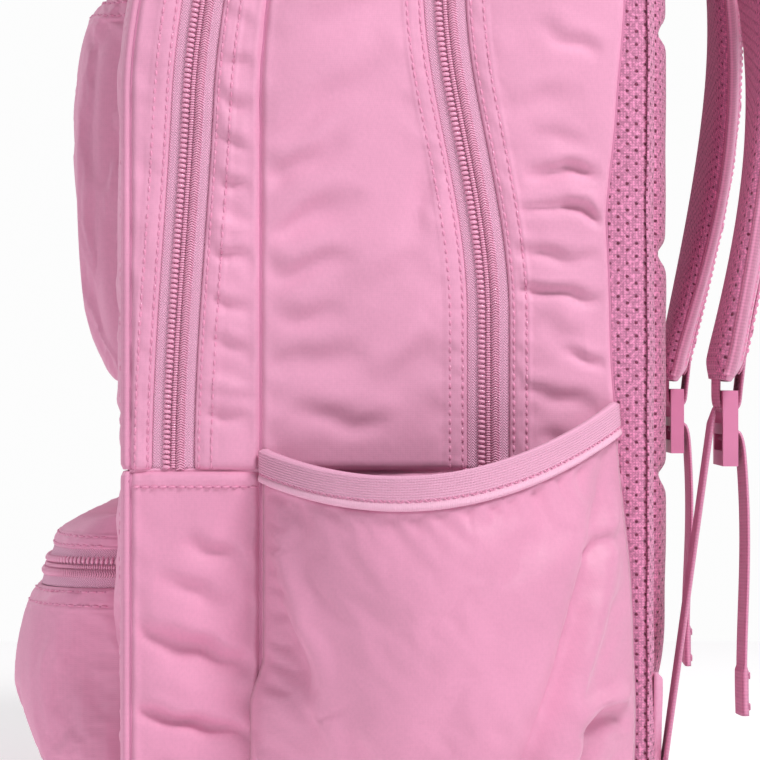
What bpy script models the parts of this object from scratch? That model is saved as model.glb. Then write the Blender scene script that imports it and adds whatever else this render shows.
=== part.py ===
"""A school backpack as separate sewn panels, zips, straps and buckles.

Metres, +Z up. The wearer's back is on the +Y side and the front pockets on the -Y side.
Seen from the front, the bag's outline is an arch of three arcs on straight sides.
A panel's place from front to back is its depth, measured forwards from the back seam.
"""

import math

import bmesh
import bpy
from mathutils import Matrix, Vector

MM = 0.001

# ---- driving dimensions ----
HALF_WIDTH = 0.150
TOP_Z = 0.425
TOP_RADIUS = 0.220
SHOULDER_RADIUS = 0.090
BASE_RADIUS = 0.042
SPLIT_Z = 0.131  # the cross seam where both long zips end
BACK_Y = 0.0625  # puts the middle of the overall depth on Y = 0

SEAM_DEPTH = 0.112  # gusset seam between the main and the second compartment
FRONT_DEPTH = 0.154
TOP_TAPER = 0.16  # share of the depth lost over TAPER_Z
TAPER_Z = (0.25, 0.395)

WALL = 0.0024
PANEL = 0.003
GAP = 0.0003
SPLIT_GAP = 0.0006
ZIP_HALF = 0.0068  # from a zip's middle to the folded fabric edge
BULGE = 0.003
BACK_PAD = 0.015

POCKET_REACH = 0.048
POCKET_FLOOR_Z = 0.009
BINDING = 0.011

STRAP_TOP_Z = 0.388
STRAP_END_Z = 0.160
STRAP_THICKNESS = 0.011
STERNUM_Z = 0.300
STERNUM_Y = BACK_Y + 0.0682

ARC_CENTRE_Z = TOP_Z - TOP_RADIUS
SHOULDER_X = HALF_WIDTH - SHOULDER_RADIUS
SHOULDER_ANGLE = math.acos(SHOULDER_X / (TOP_RADIUS - SHOULDER_RADIUS))
SHOULDER_Z = ARC_CENTRE_Z + (TOP_RADIUS - SHOULDER_RADIUS) * math.sin(SHOULDER_ANGLE)
SIDE_LEVELS = (0.158, 0.18, 0.20, 0.22, 0.24, 0.26, 0.28, 0.30)

# ---- joint axes ----
FOLD_PIVOT = (0, BACK_Y - FRONT_DEPTH - PANEL - GAP, SPLIT_Z)
STRAP_PIVOT = (0, BACK_Y + 0.022, 0.392)
HANDLE_PIVOT = (0, BACK_Y - 0.015, TOP_Z + 0.001)
LOCK_PIVOT = (0.101, BACK_Y + 0.042, 0.1545)
ZIP_LEAN = math.radians(3.6)  # a long zip's slider stands this far off the middle

# ---- materials: colour, roughness, metallic ----
LOOKS = {
    "shell_fabric": ((0.83, 0.33, 0.52, 1), 0.55, 0),
    "air_mesh": ((0.60, 0.19, 0.34, 1), 0.85, 0),
    "zip_tape": ((0.66, 0.20, 0.36, 1), 0.7, 0),
    "elastic": ((0.70, 0.28, 0.43, 1), 0.8, 0),
    "webbing": ((0.68, 0.23, 0.40, 1), 0.75, 0),
    "plastic": ((0.62, 0.20, 0.36, 1), 0.35, 0),
    "slider_metal": ((0.72, 0.35, 0.47, 1), 0.3, 0.6),
    "lining": ((0.45, 0.42, 0.45, 1), 0.7, 0),
    "board": ((0.25, 0.25, 0.26, 1), 0.6, 0),
}


# ---- scene, materials and bodies ----
def clear_scene():
    for obj in list(bpy.data.objects):
        bpy.data.objects.remove(obj)


def make_material(name):
    colour, roughness, metallic = LOOKS[name]
    material = bpy.data.materials.new(name)
    material.use_nodes = True
    shader = material.node_tree.nodes["Principled BSDF"]
    shader.inputs["Base Color"].default_value = colour
    shader.inputs["Roughness"].default_value = roughness
    shader.inputs["Metallic"].default_value = metallic
    return material


def make_body(name, place):
    """An empty on the axis of the joint that moves this body's pieces."""
    empty = bpy.data.objects.new("axis_" + name, None)
    empty.location = place
    bpy.context.collection.objects.link(empty)
    return empty


def add_piece(name, look, mesh, body=None):
    """Links a mesh made in world coordinates, with its origin moved to its body's axis."""
    piece = bpy.data.objects.new(name, mesh)
    bpy.context.collection.objects.link(piece)
    mesh.materials.append(MATERIALS[look])
    if body:
        mesh.transform(Matrix.Translation(-body.location))
        piece.parent = body
    mesh.shade_smooth()
    mesh.set_sharp_from_angle(angle=math.radians(35))
    return piece


def cut(piece, cutter, operation="DIFFERENCE"):
    """A Boolean on a piece, by a helper object that isn't part of the model."""
    cutter.parent = piece.parent
    cutter.hide_render = True
    cutter.display_type = "WIRE"
    boolean = piece.modifiers.new(operation.lower(), "BOOLEAN")
    boolean.operation = operation
    boolean.object = cutter


# ---- mesh makers ----
def finish_mesh(bm):
    bmesh.ops.recalc_face_normals(bm, faces=bm.faces)
    mesh = bpy.data.meshes.new("mesh")
    bm.to_mesh(mesh)
    bm.free()
    return mesh


def loft(rings, cyclic=False):
    """A closed solid through rings of points; cyclic joins the last ring to the first."""
    bm = bmesh.new()
    rows = [[bm.verts.new(p) for p in ring] for ring in rings]
    count = len(rings[0])
    joins = list(zip(rows, rows[1:]))
    if cyclic:
        joins.append((rows[-1], rows[0]))
    for low, high in joins:
        for i in range(count):
            j = (i + 1) % count
            bm.faces.new((low[i], low[j], high[j], high[i]))
    if not cyclic:
        bm.faces.new(rows[0])
        bm.faces.new(rows[-1])
    return finish_mesh(bm)


def thick_sheet(grid, thickness, clamp):
    """A sheet through a grid of points on its outer side; clamp keeps its inner side off a wall."""
    rows, columns = len(grid), len(grid[0])

    def normal(i, j):
        along = grid[min(i + 1, rows - 1)][j] - grid[max(i - 1, 0)][j]
        across = grid[i][min(j + 1, columns - 1)] - grid[i][max(j - 1, 0)]
        return along.cross(across).normalized()

    bm = bmesh.new()
    outer = [[bm.verts.new(p) for p in row] for row in grid]
    inner = [
        [bm.verts.new(clamp(grid[i][j] - normal(i, j) * thickness)) for j in range(columns)]
        for i in range(rows)
    ]
    for side in (outer, inner):
        for i in range(rows - 1):
            for j in range(columns - 1):
                bm.faces.new((side[i][j], side[i + 1][j], side[i + 1][j + 1], side[i][j + 1]))
    rim = [(i, 0) for i in range(rows)] + [(rows - 1, j) for j in range(1, columns)]
    rim += [(i, columns - 1) for i in range(rows - 2, -1, -1)]
    rim += [(0, j) for j in range(columns - 2, 0, -1)]
    for (i, j), (k, m) in zip(rim, rim[1:] + rim[:1]):
        bm.faces.new((outer[i][j], outer[k][m], inner[k][m], inner[i][j]))
    return finish_mesh(bm)


def box_mesh(low, high):
    (x0, y0, z0), (x1, y1, z1) = low, high
    ring = [(x0, y0), (x1, y0), (x1, y1), (x0, y1)]
    return loft([[(x, y, z) for x, y in ring] for z in (z0, z1)])


def ribbon_ring(centre, tangent, facing, width, thickness, chamfer=0.0):
    """The cross-section of a flat strap: its width lies across tangent and facing."""
    across = tangent.cross(facing).normalized()
    out = across.cross(tangent).normalized()
    w, t = width / 2, thickness / 2
    corners = [(-w, -t), (w, -t), (w, t), (-w, t)]
    if chamfer:
        c = chamfer
        corners = [(-w + c, -t), (w - c, -t), (w, -t + c), (w, t - c)]
        corners += [(w - c, t), (-w + c, t), (-w, t - c), (-w, -t + c)]
    return [centre + across * a + out * b for a, b in corners]


# ---- the bag's outline and depths ----
def smooth(t):
    t = min(1.0, max(0.0, t))
    return t * t * (3 - 2 * t)


def y_at(depth, z):
    """Where a depth lies at a height, with the top of the bag drawn back."""
    taper = TOP_TAPER * smooth((z - TAPER_Z[0]) / (TAPER_Z[1] - TAPER_Z[0]))
    return BACK_Y - depth * (1 - taper)


def main_zip_y(z):
    return y_at(0.039 + 0.016 * smooth((z - 0.18) / 0.12), z)


def second_zip_y(z):
    return y_at(0.140 - 0.007 * smooth((z - SPLIT_Z) / 0.15), z)


def seam_y(z):
    return y_at(SEAM_DEPTH, z)


def front_y(z):
    return y_at(FRONT_DEPTH, z)


def arc(centre, radius, start, end, steps):
    """Points on an arc, each with its outward normal: x, z, normal x, normal z."""
    points = []
    for i in range(steps + 1):
        a = start + (end - start) * i / steps
        c, s = math.cos(a), math.sin(a)
        points.append((centre[0] + radius * c, centre[1] + radius * s, c, s))
    return points


def half_outline(part):
    """The right half of the upper or lower outline, from its lowest point upwards."""
    if part == "upper":
        levels = (SPLIT_Z + SPLIT_GAP / 2,) + SIDE_LEVELS
        side = [(HALF_WIDTH, z, 1, 0) for z in levels]
        shoulder = arc((SHOULDER_X, SHOULDER_Z), SHOULDER_RADIUS, 0, SHOULDER_ANGLE, 6)
        crown = arc((0, ARC_CENTRE_Z), TOP_RADIUS, SHOULDER_ANGLE, math.pi / 2, 5)
        return side + shoulder + crown[1:]
    corner = (HALF_WIDTH - BASE_RADIUS, BASE_RADIUS)
    base = [(0, 0, 0, -1)] + arc(corner, BASE_RADIUS, -math.pi / 2, 0, 5)
    return base + [(HALF_WIDTH, z, 1, 0) for z in (0.086, SPLIT_Z - SPLIT_GAP / 2)]


def outline(part):
    """The whole upper or lower outline, anticlockwise from the front."""
    half = half_outline(part)
    if part == "upper":
        return half + [(-x, z, -a, b) for x, z, a, b in reversed(half[:-1])]
    return [(-x, z, -a, b) for x, z, a, b in reversed(half[1:])] + half


def band(part, back, front, bulge=0.0):
    """A gusset: the outline as a wall from one Y to another, swelling in the middle."""
    rings = []
    for x, z, a, b in outline(part):
        y0, y1 = back(z), front(z)
        outer = ((y0, 0.0), ((y0 + y1) / 2, bulge), (y1, 0.0))
        inner = [(y, off - WALL) for y, off in reversed(outer)]
        rings.append([(x + a * off, y, z + b * off) for y, off in outer + tuple(inner)])
    return loft(rings)


def arch_panel(parts, depth, thickness, inset=0.0):
    """An upright panel inside the outline, its thickness towards the front."""
    half = [p for part in parts for p in half_outline(part)[1 if part == "lower" else 0 :]]
    rings = []
    for x, z, a, b in half:
        x, z = max(x - a * inset, 0.0005), z - b * inset
        y0 = y_at(depth, z)
        y1 = y0 - thickness
        rings.append([(-x, y0, z), (x, y0, z), (x, y1, z), (-x, y1, z)])
    return loft(rings)


def zip_half(zip_y, side):
    """Half of a long zip along the upper outline: tape, and the coil at its inner edge."""
    profile = [(0.15, -1.0), (0.15, 1.2), (0.9, 1.7), (2.1, 1.7), (2.9, 1.0), (2.9, -0.1)]
    profile += [(6.5, -0.1), (6.5, -1.0)]
    rings = []
    for x, z, a, b in outline("upper"):
        y = zip_y(z)
        ring = [(y + side * w * MM, off * MM) for w, off in profile]
        rings.append([(x + a * off, v, z + b * off) for v, off in ring])
    return loft(rings)


# ---- bag panels ----
def build_shell():
    """The gussets, front panels and dividers of both compartments."""

    def shifted(line, shift):
        return lambda z: line(z) + shift

    def at_back(z):
        return BACK_Y - GAP

    inner_seam = shifted(seam_y, GAP / 2)
    outer_seam = shifted(seam_y, -GAP / 2)
    front_edge = shifted(front_y, GAP)
    fabric = [
        ("rear_gusset", "upper", at_back, shifted(main_zip_y, ZIP_HALF), 0, None),
        ("main_gusset", "upper", shifted(main_zip_y, -ZIP_HALF), inner_seam, BULGE, MIDDLE),
        ("inner_gusset", "upper", outer_seam, shifted(second_zip_y, ZIP_HALF), 0, MIDDLE),
        ("front_gusset", "upper", shifted(second_zip_y, -ZIP_HALF), front_edge, 0, FRONT),
        ("base_gusset", "lower", at_back, inner_seam, 0, None),
        ("lower_gusset", "lower", outer_seam, front_edge, 0, None),
    ]
    for name, part, back, front, bulge, body in fabric:
        add_piece(name, "shell_fabric", band(part, back, front, bulge), body)
    add_piece("front_panel", "shell_fabric", arch_panel(["upper"], FRONT_DEPTH, PANEL), FRONT)
    add_piece("lower_front_panel", "shell_fabric", arch_panel(["lower"], FRONT_DEPTH, PANEL))
    inset = WALL + GAP
    divider_depth = SEAM_DEPTH - PANEL / 2
    divider = arch_panel(["upper"], divider_depth, PANEL, inset)
    add_piece("divider", "lining", divider, MIDDLE)
    add_piece("lower_divider", "lining", arch_panel(["lower"], divider_depth, PANEL, inset))


def build_zips():
    for name, line, bodies in (
        ("main_zip", main_zip_y, (None, MIDDLE)),
        ("second_zip", second_zip_y, (MIDDLE, FRONT)),
    ):
        add_piece(name + "_rear_half", "zip_tape", zip_half(line, 1), bodies[0])
        add_piece(name + "_front_half", "zip_tape", zip_half(line, -1), bodies[1])


def build_back():
    """The mesh back panel, its raised pads, and the board that keeps it flat."""
    back = arch_panel(["lower", "upper"], 0, -BACK_PAD)
    add_piece("back_panel", "air_mesh", back)
    low, high = 0.052, 0.352
    for name, side in SIDES:
        rings = []
        for z, half, rise in (
            (low, 0.040, 0.002),
            (low + 0.012, 0.050, 0.0065),
            (high - 0.016, 0.050, 0.0065),
            (high, 0.038, 0.002),
        ):
            x, y = side * 0.066, BACK_Y + BACK_PAD + GAP
            edge = half - rise
            ring = [(x - half, y, z), (x + half, y, z)]
            rings.append(ring + [(x + edge, y + rise, z), (x - edge, y + rise, z)])
        add_piece("back_pad_" + name, "air_mesh", loft(rings))
    inner_y = BACK_Y - 2 * GAP
    board = box_mesh((-0.118, inner_y - 0.002, 0.03), (0.118, inner_y, 0.36))
    add_piece("back_board", "board", board)


def build_inner_pockets():
    """A padded sleeve on the back wall, and an organiser pocket on the divider."""
    back, reach, half, wall = BACK_Y - 0.0032, 0.018, 0.112, 0.003
    profile = [(-half, back), (-half, back - reach), (half, back - reach), (half, back)]
    inner = half - wall
    profile += [(inner, back), (inner, back - reach + wall)]
    profile += [(-inner, back - reach + wall), (-inner, back)]
    sleeve = loft([[(x, y, z) for x, y in profile] for z in (0.014, 0.262)])
    add_piece("laptop_sleeve", "lining", sleeve)

    def organiser_point(s, z):
        depth = SEAM_DEPTH + PANEL / 2 + GAP + 0.002
        depth += 0.011 * (1 - s**6) ** 0.5 * smooth((z - 0.150) / 0.02)
        return Vector((0.095 * s, BACK_Y - depth, z))

    across = [math.sin(math.pi / 2 * (i / 6 - 1)) for i in range(13)]
    levels = (0.150, 0.155, 0.162, 0.172, 0.24)
    wall_y = BACK_Y - SEAM_DEPTH - PANEL / 2 - GAP

    def off_divider(p):
        return Vector((p.x, min(p.y, wall_y), p.z))

    grid = [[organiser_point(s, z) for z in levels] for s in across]
    add_piece("organiser_pocket", "lining", thick_sheet(grid, 0.0016, off_divider), MIDDLE)


# ---- side pockets ----
def rim_z(u):
    """Height of a side pocket's rim, from the gusset seam (u = 0) to the back seam (u = 1)."""
    return 0.138 - 0.04165 * u + 0.05665 * u * u


def wall_x(z):
    """Half width of the bag at a height, eased off the rounded corner of its base."""
    drop = min(BASE_RADIUS, max(0.0, BASE_RADIUS - z))
    flank = math.sqrt(BASE_RADIUS**2 - drop**2)
    return HALF_WIDTH - BASE_RADIUS + flank + 0.0007 * smooth(drop / 0.006) * BASE_RADIUS / flank


def pocket_point(side, u, z):
    share = (z - POCKET_FLOOR_Z) / (rim_z(u) - POCKET_FLOOR_Z)
    rise = math.sin(min(1.0, share / 0.42) * math.pi / 2) ** 0.8
    pinch = 1 - 0.10 * smooth((share - 0.6) / 0.4)
    reach = POCKET_REACH * math.sin(math.pi * u) ** 0.7 * rise * pinch if 0 < u < 1 else 0
    y = BACK_Y - 0.001 - (SEAM_DEPTH - 0.002) * (1 - u)
    return Vector((side * (wall_x(z) + GAP + 0.0008 + reach), y, z))


def build_side_pockets():
    columns = [i / 14 for i in range(15)]
    levels = (0, 0.05, 0.12, 0.22, 0.34, 0.5, 0.75, 1)
    for name, side in SIDES:

        def off_wall(p, side=side):
            return Vector((side * max(wall_x(p.z) + GAP, side * p.x), p.y, p.z))

        order = columns if side > 0 else columns[::-1]
        sheet = [
            [
                pocket_point(side, u, POCKET_FLOOR_Z + v * (rim_z(u) - BINDING - GAP - POCKET_FLOOR_Z))
                for v in levels
            ]
            for u in order
        ]
        rim = [
            [pocket_point(side, u, rim_z(u) - BINDING * (1 - v)) for v in (0, 0.5, 1)]
            for u in order
        ]
        add_piece("side_pocket_" + name, "shell_fabric", thick_sheet(sheet, WALL, off_wall))
        add_piece("pocket_binding_" + name, "elastic", thick_sheet(rim, 0.003, off_wall))


# ---- front pockets ----
class FrontPocket:
    """A pouch on the front panel whose surface runs from its bottom seam to its top seam."""

    slider_place = -0.72  # share of the half width: a closed zip's slider stands at one end

    def __init__(self, half_width, low, high, reach, body):
        self.half_width, self.low, self.high = half_width, low, high
        self.reach, self.body = reach, body

    def surface(self, s, t):
        z = self.low + (self.high - self.low) * (1 - math.cos(math.pi * t)) / 2
        depth = self.reach * max(0.0, math.sin(math.pi * t)) ** 0.55
        depth *= math.sqrt(max(0.0, 1 - s**10))
        return Vector((s * self.half_width, front_y(z) - PANEL - GAP - 0.0008 - depth, z))

    def slope(self, t):
        return (self.surface(0, t + 0.01) - self.surface(0, t - 0.01)) / 0.02

    def normal(self, t):
        return Vector((1, 0, 0)).cross(self.slope(t)).normalized()

    def off_panel(self, p):
        return Vector((p.x, min(p.y, front_y(p.z) - PANEL - GAP), p.z))

    def sheet(self, heights, thickness, prouds=None):
        """The surface between its side seams, at these heights up it."""
        across = [math.sin(math.pi / 2 * (i / 8 - 1)) for i in range(17)]
        lifts = [self.normal(t) * p for t, p in zip(heights, prouds)] if prouds else None
        lifts = lifts or [Vector()] * len(heights)
        grid = [[self.surface(s, t) + lift for t, lift in zip(heights, lifts)] for s in across]
        return thick_sheet(grid, thickness, self.off_panel)

    def build(self, name):
        """The pouch, the zip across it, the flap above the zip, and the zip's slider."""
        middle = 0.73
        speed = self.slope(middle).length
        half, coil, gap = ZIP_HALF / speed, 0.0029 / speed, 2 * GAP / speed
        low, high = middle - half, middle + half
        pouch = [low * k for k in (0, 0.04, 0.11, 0.22, 0.36, 0.52, 0.7, 0.86, 1)]
        flap = [high + (1 - high) * k for k in (0, 0.35, 0.7, 1)]
        tape = [low + gap, middle - coil - gap, middle - coil, middle + coil]
        tape += [middle + coil + gap, high - gap]
        add_piece(name, "shell_fabric", self.sheet(pouch, WALL), self.body)
        add_piece(name + "_flap", "shell_fabric", self.sheet(flap, WALL), self.body)
        strip = self.sheet(tape, 0.0011, (0, 0, 0.0014, 0.0014, 0, 0))
        add_piece(name + "_zip", "zip_tape", strip, self.body)
        normal = self.normal(middle)
        at = self.surface(0, middle) + Vector((self.slider_place * self.half_width, 0, 0))
        pivot = at + normal * HANGING_LIFT * MM
        crest = self.surface(0, 0.5)
        hang = Vector((0, max(0.0, pivot.y - crest.y + 0.0022), pivot.z - crest.z)).normalized()
        add_slider(name, Vector((1, 0, 0)), at, normal, hang)


# ---- sliders and pulls, in millimetres: along the zip, across it, and up from the fabric ----
LYING_LIFT = 4.9
HANGING_LIFT = 6.6


def slider_mesh():
    channel = [(-4.8, 0.4), (-3.7, 0.4), (-3.7, 2.1), (3.7, 2.1), (3.7, 0.4), (4.8, 0.4)]
    channel += [(4.8, 3.3), (3.7, 3.9), (-3.7, 3.9), (-4.8, 3.3)]
    return loft([[(s, w, h) for w, h in channel] for s in (-6, 6)])


def bridge_mesh():
    arch = [(-4.6, 3.5), (-4.6, 6.6), (-3.9, 7.3), (3.9, 7.3), (4.6, 6.6), (4.6, 3.5)]
    arch += [(2.6, 3.5), (2.6, 5.9), (-2.6, 5.9), (-2.6, 3.5)]
    return loft([[(s, w, h) for s, h in arch] for w in (-1.1, 1.1)])


def tab_mesh():
    """A pull whose cross pin turns under the bridge, lying along the zip."""
    stations = [(-0.6, 3.1, 0.6), (5.8, 3.1, 0.6), (8, 1.8, 0.6), (12, 2.2, 1.0), (16, 3.8, 1.3)]
    stations += [(40, 4.2, 1.3), (44, 3.2, 1.1), (45.5, 1.2, 0.6)]
    return loft([[(s, -w, -t), (s, w, -t), (s, w, t), (s, -w, t)] for s, w, t in stations])


def eye_mesh():
    """A ring round the bridge's beam, for a pull that hangs across the zip."""
    rings = []
    for i in range(12):
        a = 2 * math.pi * i / 12
        c, s = math.cos(a), math.sin(a)
        rings.append([(x, r * c, r * s) for x, r in ((-1, 1.75), (1, 1.75), (1, 2.6), (-1, 2.6))])
    return loft(rings, cyclic=True)


def tail_mesh():
    stations = [(-2.2, 1.0, 0.7), (-8, 1.2, 0.8), (-12, 2.2, 1.0), (-16, 3.8, 1.3)]
    stations += [(-38, 4.2, 1.3), (-42, 3.2, 1.1), (-43.5, 1.2, 0.6)]
    return loft([[(-x, w, -t), (x, w, -t), (x, w, t), (-x, w, t)] for w, x, t in stations])


def placed(mesh, matrix, scale=MM):
    mesh.transform(matrix @ Matrix.Scale(scale, 4))
    return mesh


def add_slider(name, along, at, normal, hang=None, body=None):
    """A slider at a point on its zip, and its pull, which lies along the zip or hangs down."""
    frame = Matrix((along, normal.cross(along), normal)).transposed().to_4x4()
    frame.translation = at
    body = body or make_body(name + "_slider", at)
    slider = add_piece(name + "_slider", "slider_metal", placed(slider_mesh(), frame), body)
    bridge = add_piece(name + "_bridge", "slider_metal", placed(bridge_mesh(), frame), body)
    cut(slider, bridge, "UNION")
    frame.translation = at + normal * (HANGING_LIFT if hang else LYING_LIFT) * MM
    pull_body = make_body(name + "_pull", frame.translation)
    if not hang:
        pull = add_piece(name + "_pull", "plastic", placed(tab_mesh(), frame), pull_body)
        slot = box_mesh((0.6, -1.9, -2), (5.2, 1.9, 2))
        cut(pull, add_piece(name + "_slot", "plastic", placed(slot, frame), pull_body))
        return
    hanging = Matrix((along, hang, along.cross(hang))).transposed().to_4x4()
    hanging.translation = frame.translation
    pull = add_piece(name + "_pull", "plastic", placed(tail_mesh(), hanging), pull_body)
    eye = add_piece(name + "_eye", "plastic", placed(eye_mesh(), frame), pull_body)
    cut(pull, eye, "UNION")


def build_long_zip_sliders():
    """Two sliders meet at the crown of each long zip and run down its arc either way."""
    for name, line in (("main", main_zip_y), ("second", second_zip_y)):
        y = line(TOP_Z)
        for side_name, side in SIDES:
            lean = side * ZIP_LEAN
            normal = Vector((math.sin(lean), 0, math.cos(lean)))
            along = Vector((math.cos(lean), 0, -math.sin(lean))) * side
            centre = Vector((0, y, ARC_CENTRE_Z))
            title = f"{name}_zip_{side_name}"
            body = make_body(title + "_slider", centre)
            add_slider(title, along, centre + normal * TOP_RADIUS, normal, None, body)


# ---- carrying parts ----
def build_handle():
    """A webbing loop on the crown, with its width from front to back."""
    span, rise, width, thickness = 0.058, 0.036, 0.024, 0.004
    rings = []
    for i in range(13):
        a = math.pi * i / 12
        x = span * math.copysign(abs(math.cos(a)) ** 0.7, math.cos(a))
        z = TOP_Z + 0.0005 + rise * math.sin(a) ** 0.8
        tangent = Vector((-math.sin(a) * 0.8, 0, math.cos(a) * 0.75)).normalized()
        centre = Vector((x, HANDLE_PIVOT[1], max(z, TOP_Z + 0.0005)))
        rings.append(ribbon_ring(centre, tangent, Vector((0, 1, 0)), thickness, width))
    body = make_body("handle", HANDLE_PIVOT)
    add_piece("grab_handle", "webbing", loft(rings), body)


def strap_point(side, t):
    z = STRAP_TOP_Z + (STRAP_END_Z - STRAP_TOP_Z) * t
    x = 0.036 + 0.066 * smooth(1.05 * t)
    y = BACK_Y + 0.026 + 0.026 * math.sin(math.pi * t**0.8) + 0.014 * t
    return Vector((side * x, y, z))


def build_straps():
    outwards = Vector((0, 1, 0))
    for name, side in SIDES:
        body = make_body("strap_" + name, STRAP_PIVOT)
        rings = []
        for i in range(15):
            t = i / 14
            ahead, behind = strap_point(side, min(1, t + 0.02)), strap_point(side, max(0, t - 0.02))
            width = 0.062 - 0.016 * smooth((t - 0.55) / 0.45)
            tangent = (ahead - behind).normalized()
            centre = strap_point(side, t)
            rings.append(ribbon_ring(centre, tangent, outwards, width, STRAP_THICKNESS, 0.003))
        add_piece("shoulder_strap_" + name, "air_mesh", loft(rings), body)

        corner = [(0.112, 0.016), (0.138, 0.028), (0.146, 0.066), (0.124, 0.058)]
        y = BACK_Y + BACK_PAD + GAP
        wing = loft([[(side * x, v, z) for x, z in corner] for v in (y, y + 0.003)])
        add_piece("strap_wing_" + name, "shell_fabric", wing)

        low = Vector((side * 0.131, BACK_Y + 0.0205, 0.040))
        high = Vector((side * 0.1025, BACK_Y + 0.0365, 0.1455))
        tangent = (high - low).normalized()
        ends = [ribbon_ring(p, tangent, outwards, 0.025, 0.0016) for p in (low, high)]
        add_piece("lower_webbing_" + name, "webbing", loft(ends), body)
        build_lock(name, side)
    yoke = [(-0.078, 0.366), (0.078, 0.366), (0.066, 0.404), (-0.066, 0.404)]
    y = BACK_Y + BACK_PAD + GAP
    patch = loft([[(x, v, z) for x, z in yoke] for v in (y, y + 0.003)])
    add_piece("strap_yoke", "shell_fabric", patch)


def build_lock(name, side):
    """A ladder lock under the strap's end, with the loose tail of its webbing."""
    x, y, z = side * LOCK_PIVOT[0], LOCK_PIVOT[1], LOCK_PIVOT[2]
    body = make_body("lock_" + name, (x, y, z))
    plate = box_mesh((x - 0.017, y - 0.0025, z - 0.023), (x + 0.017, y + 0.0025, z + 0.002))
    lock = add_piece("ladder_lock_" + name, "plastic", plate, body)
    for i, drop in enumerate((0.0035, 0.0125)):
        low = (x - 0.0133, y - 0.004, z - drop - 0.0055)
        high = (x + 0.0133, y + 0.004, z - drop)
        cut(lock, add_piece(f"lock_slot_{name}_{i}", "plastic", box_mesh(low, high), body))
    down = Vector((side * 0.05, 0.02, -1)).normalized()
    top = Vector((x, y + 0.0040, z - 0.008))
    places = (0, 0.05, 0.095)
    tail = [ribbon_ring(top + down * d, down, Vector((0, 1, 0)), 0.025, 0.0016) for d in places]
    add_piece("webbing_tail_" + name, "webbing", loft(tail), body)


def build_sternum_strap():
    """Two webbing halves on clips that slide on the shoulder straps, and a side-release buckle.

    The right half's webbing lies over the plug, which slides along it out of the socket.
    """
    z, y = STERNUM_Z, STERNUM_Y
    for name, side in SIDES:
        body = make_body("sternum_" + name, (side * 0.06, y, z))
        xs = sorted((side * 0.052, side * 0.073))
        clip = box_mesh((xs[0], y - 0.0036, z - 0.011), (xs[1], y + 0.0022, z + 0.011))
        add_piece("sternum_clip_" + name, "plastic", clip, body)
        xs = sorted((side * 0.0516, side * (0.0164 if side < 0 else 0.0150)))
        lift = 0.0 if side < 0 else 0.0036
        low = (xs[0], y + lift - 0.0007, z - 0.010)
        web = box_mesh(low, (xs[1], y + lift + 0.0007, z + 0.010))
        add_piece("sternum_webbing_" + name, "webbing", web, body)
        if side < 0:
            female = box_mesh((-0.016, y - 0.0045, z - 0.0125), (0.013, y + 0.0045, z + 0.0125))
            socket = box_mesh((-0.006, y - 0.0029, z - 0.0098), (0.015, y + 0.0029, z + 0.0098))
            buckle = add_piece("buckle_socket", "plastic", female, body)
            cut(buckle, add_piece("socket_cut", "plastic", socket, body))
    body = make_body("buckle_plug", (0, y, z))
    base = box_mesh((0.0134, y - 0.0034, z - 0.0125), (0.0256, y + 0.0026, z + 0.0125))
    plug = add_piece("buckle_plug", "plastic", base, body)
    for name, side in SIDES:
        zs = sorted((z + side * 0.0042, z + side * 0.0094))
        prong = box_mesh((-0.0052, y - 0.0025, zs[0]), (0.0150, y + 0.0025, zs[1]))
        cut(plug, add_piece("prong_" + name, "plastic", prong, body), "UNION")


clear_scene()
MATERIALS = {name: make_material(name) for name in LOOKS}
SIDES = (("right", 1), ("left", -1))
MIDDLE = make_body("middle_leaf", FOLD_PIVOT)
FRONT = make_body("front_leaf", FOLD_PIVOT)
build_shell()
build_zips()
build_back()
build_inner_pockets()
build_side_pockets()
FrontPocket(0.122, 0.012, 0.116, 0.034, None).build("lower_pocket")
FrontPocket(0.104, 0.160, 0.322, 0.016, FRONT).build("upper_pocket")
build_long_zip_sliders()
build_handle()
build_straps()
build_sternum_strap()
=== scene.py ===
"""The looks of a school backpack: its cloth, zips, stitching, mesh and webbing, on the CAD frame.

Metres, +Z up, the wearer's back on +Y. Reliefs, distances from seams and stitches are in
millimetres. A panel is a surface with a relief, so its stitches and zips lie on it exactly.
"""

import math

import bmesh
import bpy
import numpy as np
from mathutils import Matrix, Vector


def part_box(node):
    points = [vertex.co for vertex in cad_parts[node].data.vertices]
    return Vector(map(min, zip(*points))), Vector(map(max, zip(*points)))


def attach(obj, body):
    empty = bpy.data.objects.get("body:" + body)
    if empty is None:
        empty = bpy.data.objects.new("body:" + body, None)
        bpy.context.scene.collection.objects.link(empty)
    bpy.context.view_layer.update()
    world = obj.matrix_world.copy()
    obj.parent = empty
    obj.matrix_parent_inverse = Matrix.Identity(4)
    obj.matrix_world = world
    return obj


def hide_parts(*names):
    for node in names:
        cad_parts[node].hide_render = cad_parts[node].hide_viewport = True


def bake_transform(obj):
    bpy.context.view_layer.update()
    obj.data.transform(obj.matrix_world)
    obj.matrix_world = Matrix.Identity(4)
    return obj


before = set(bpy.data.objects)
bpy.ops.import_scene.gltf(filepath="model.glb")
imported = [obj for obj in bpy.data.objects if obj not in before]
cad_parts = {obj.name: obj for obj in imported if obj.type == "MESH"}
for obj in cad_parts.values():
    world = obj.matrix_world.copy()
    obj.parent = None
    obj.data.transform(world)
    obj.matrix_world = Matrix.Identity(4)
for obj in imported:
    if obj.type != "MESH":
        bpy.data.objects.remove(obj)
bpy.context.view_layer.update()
MM = 0.001


# ---- places, from the frame ----
def low(node):
    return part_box(node)[0]


def high(node):
    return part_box(node)[1]


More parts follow.
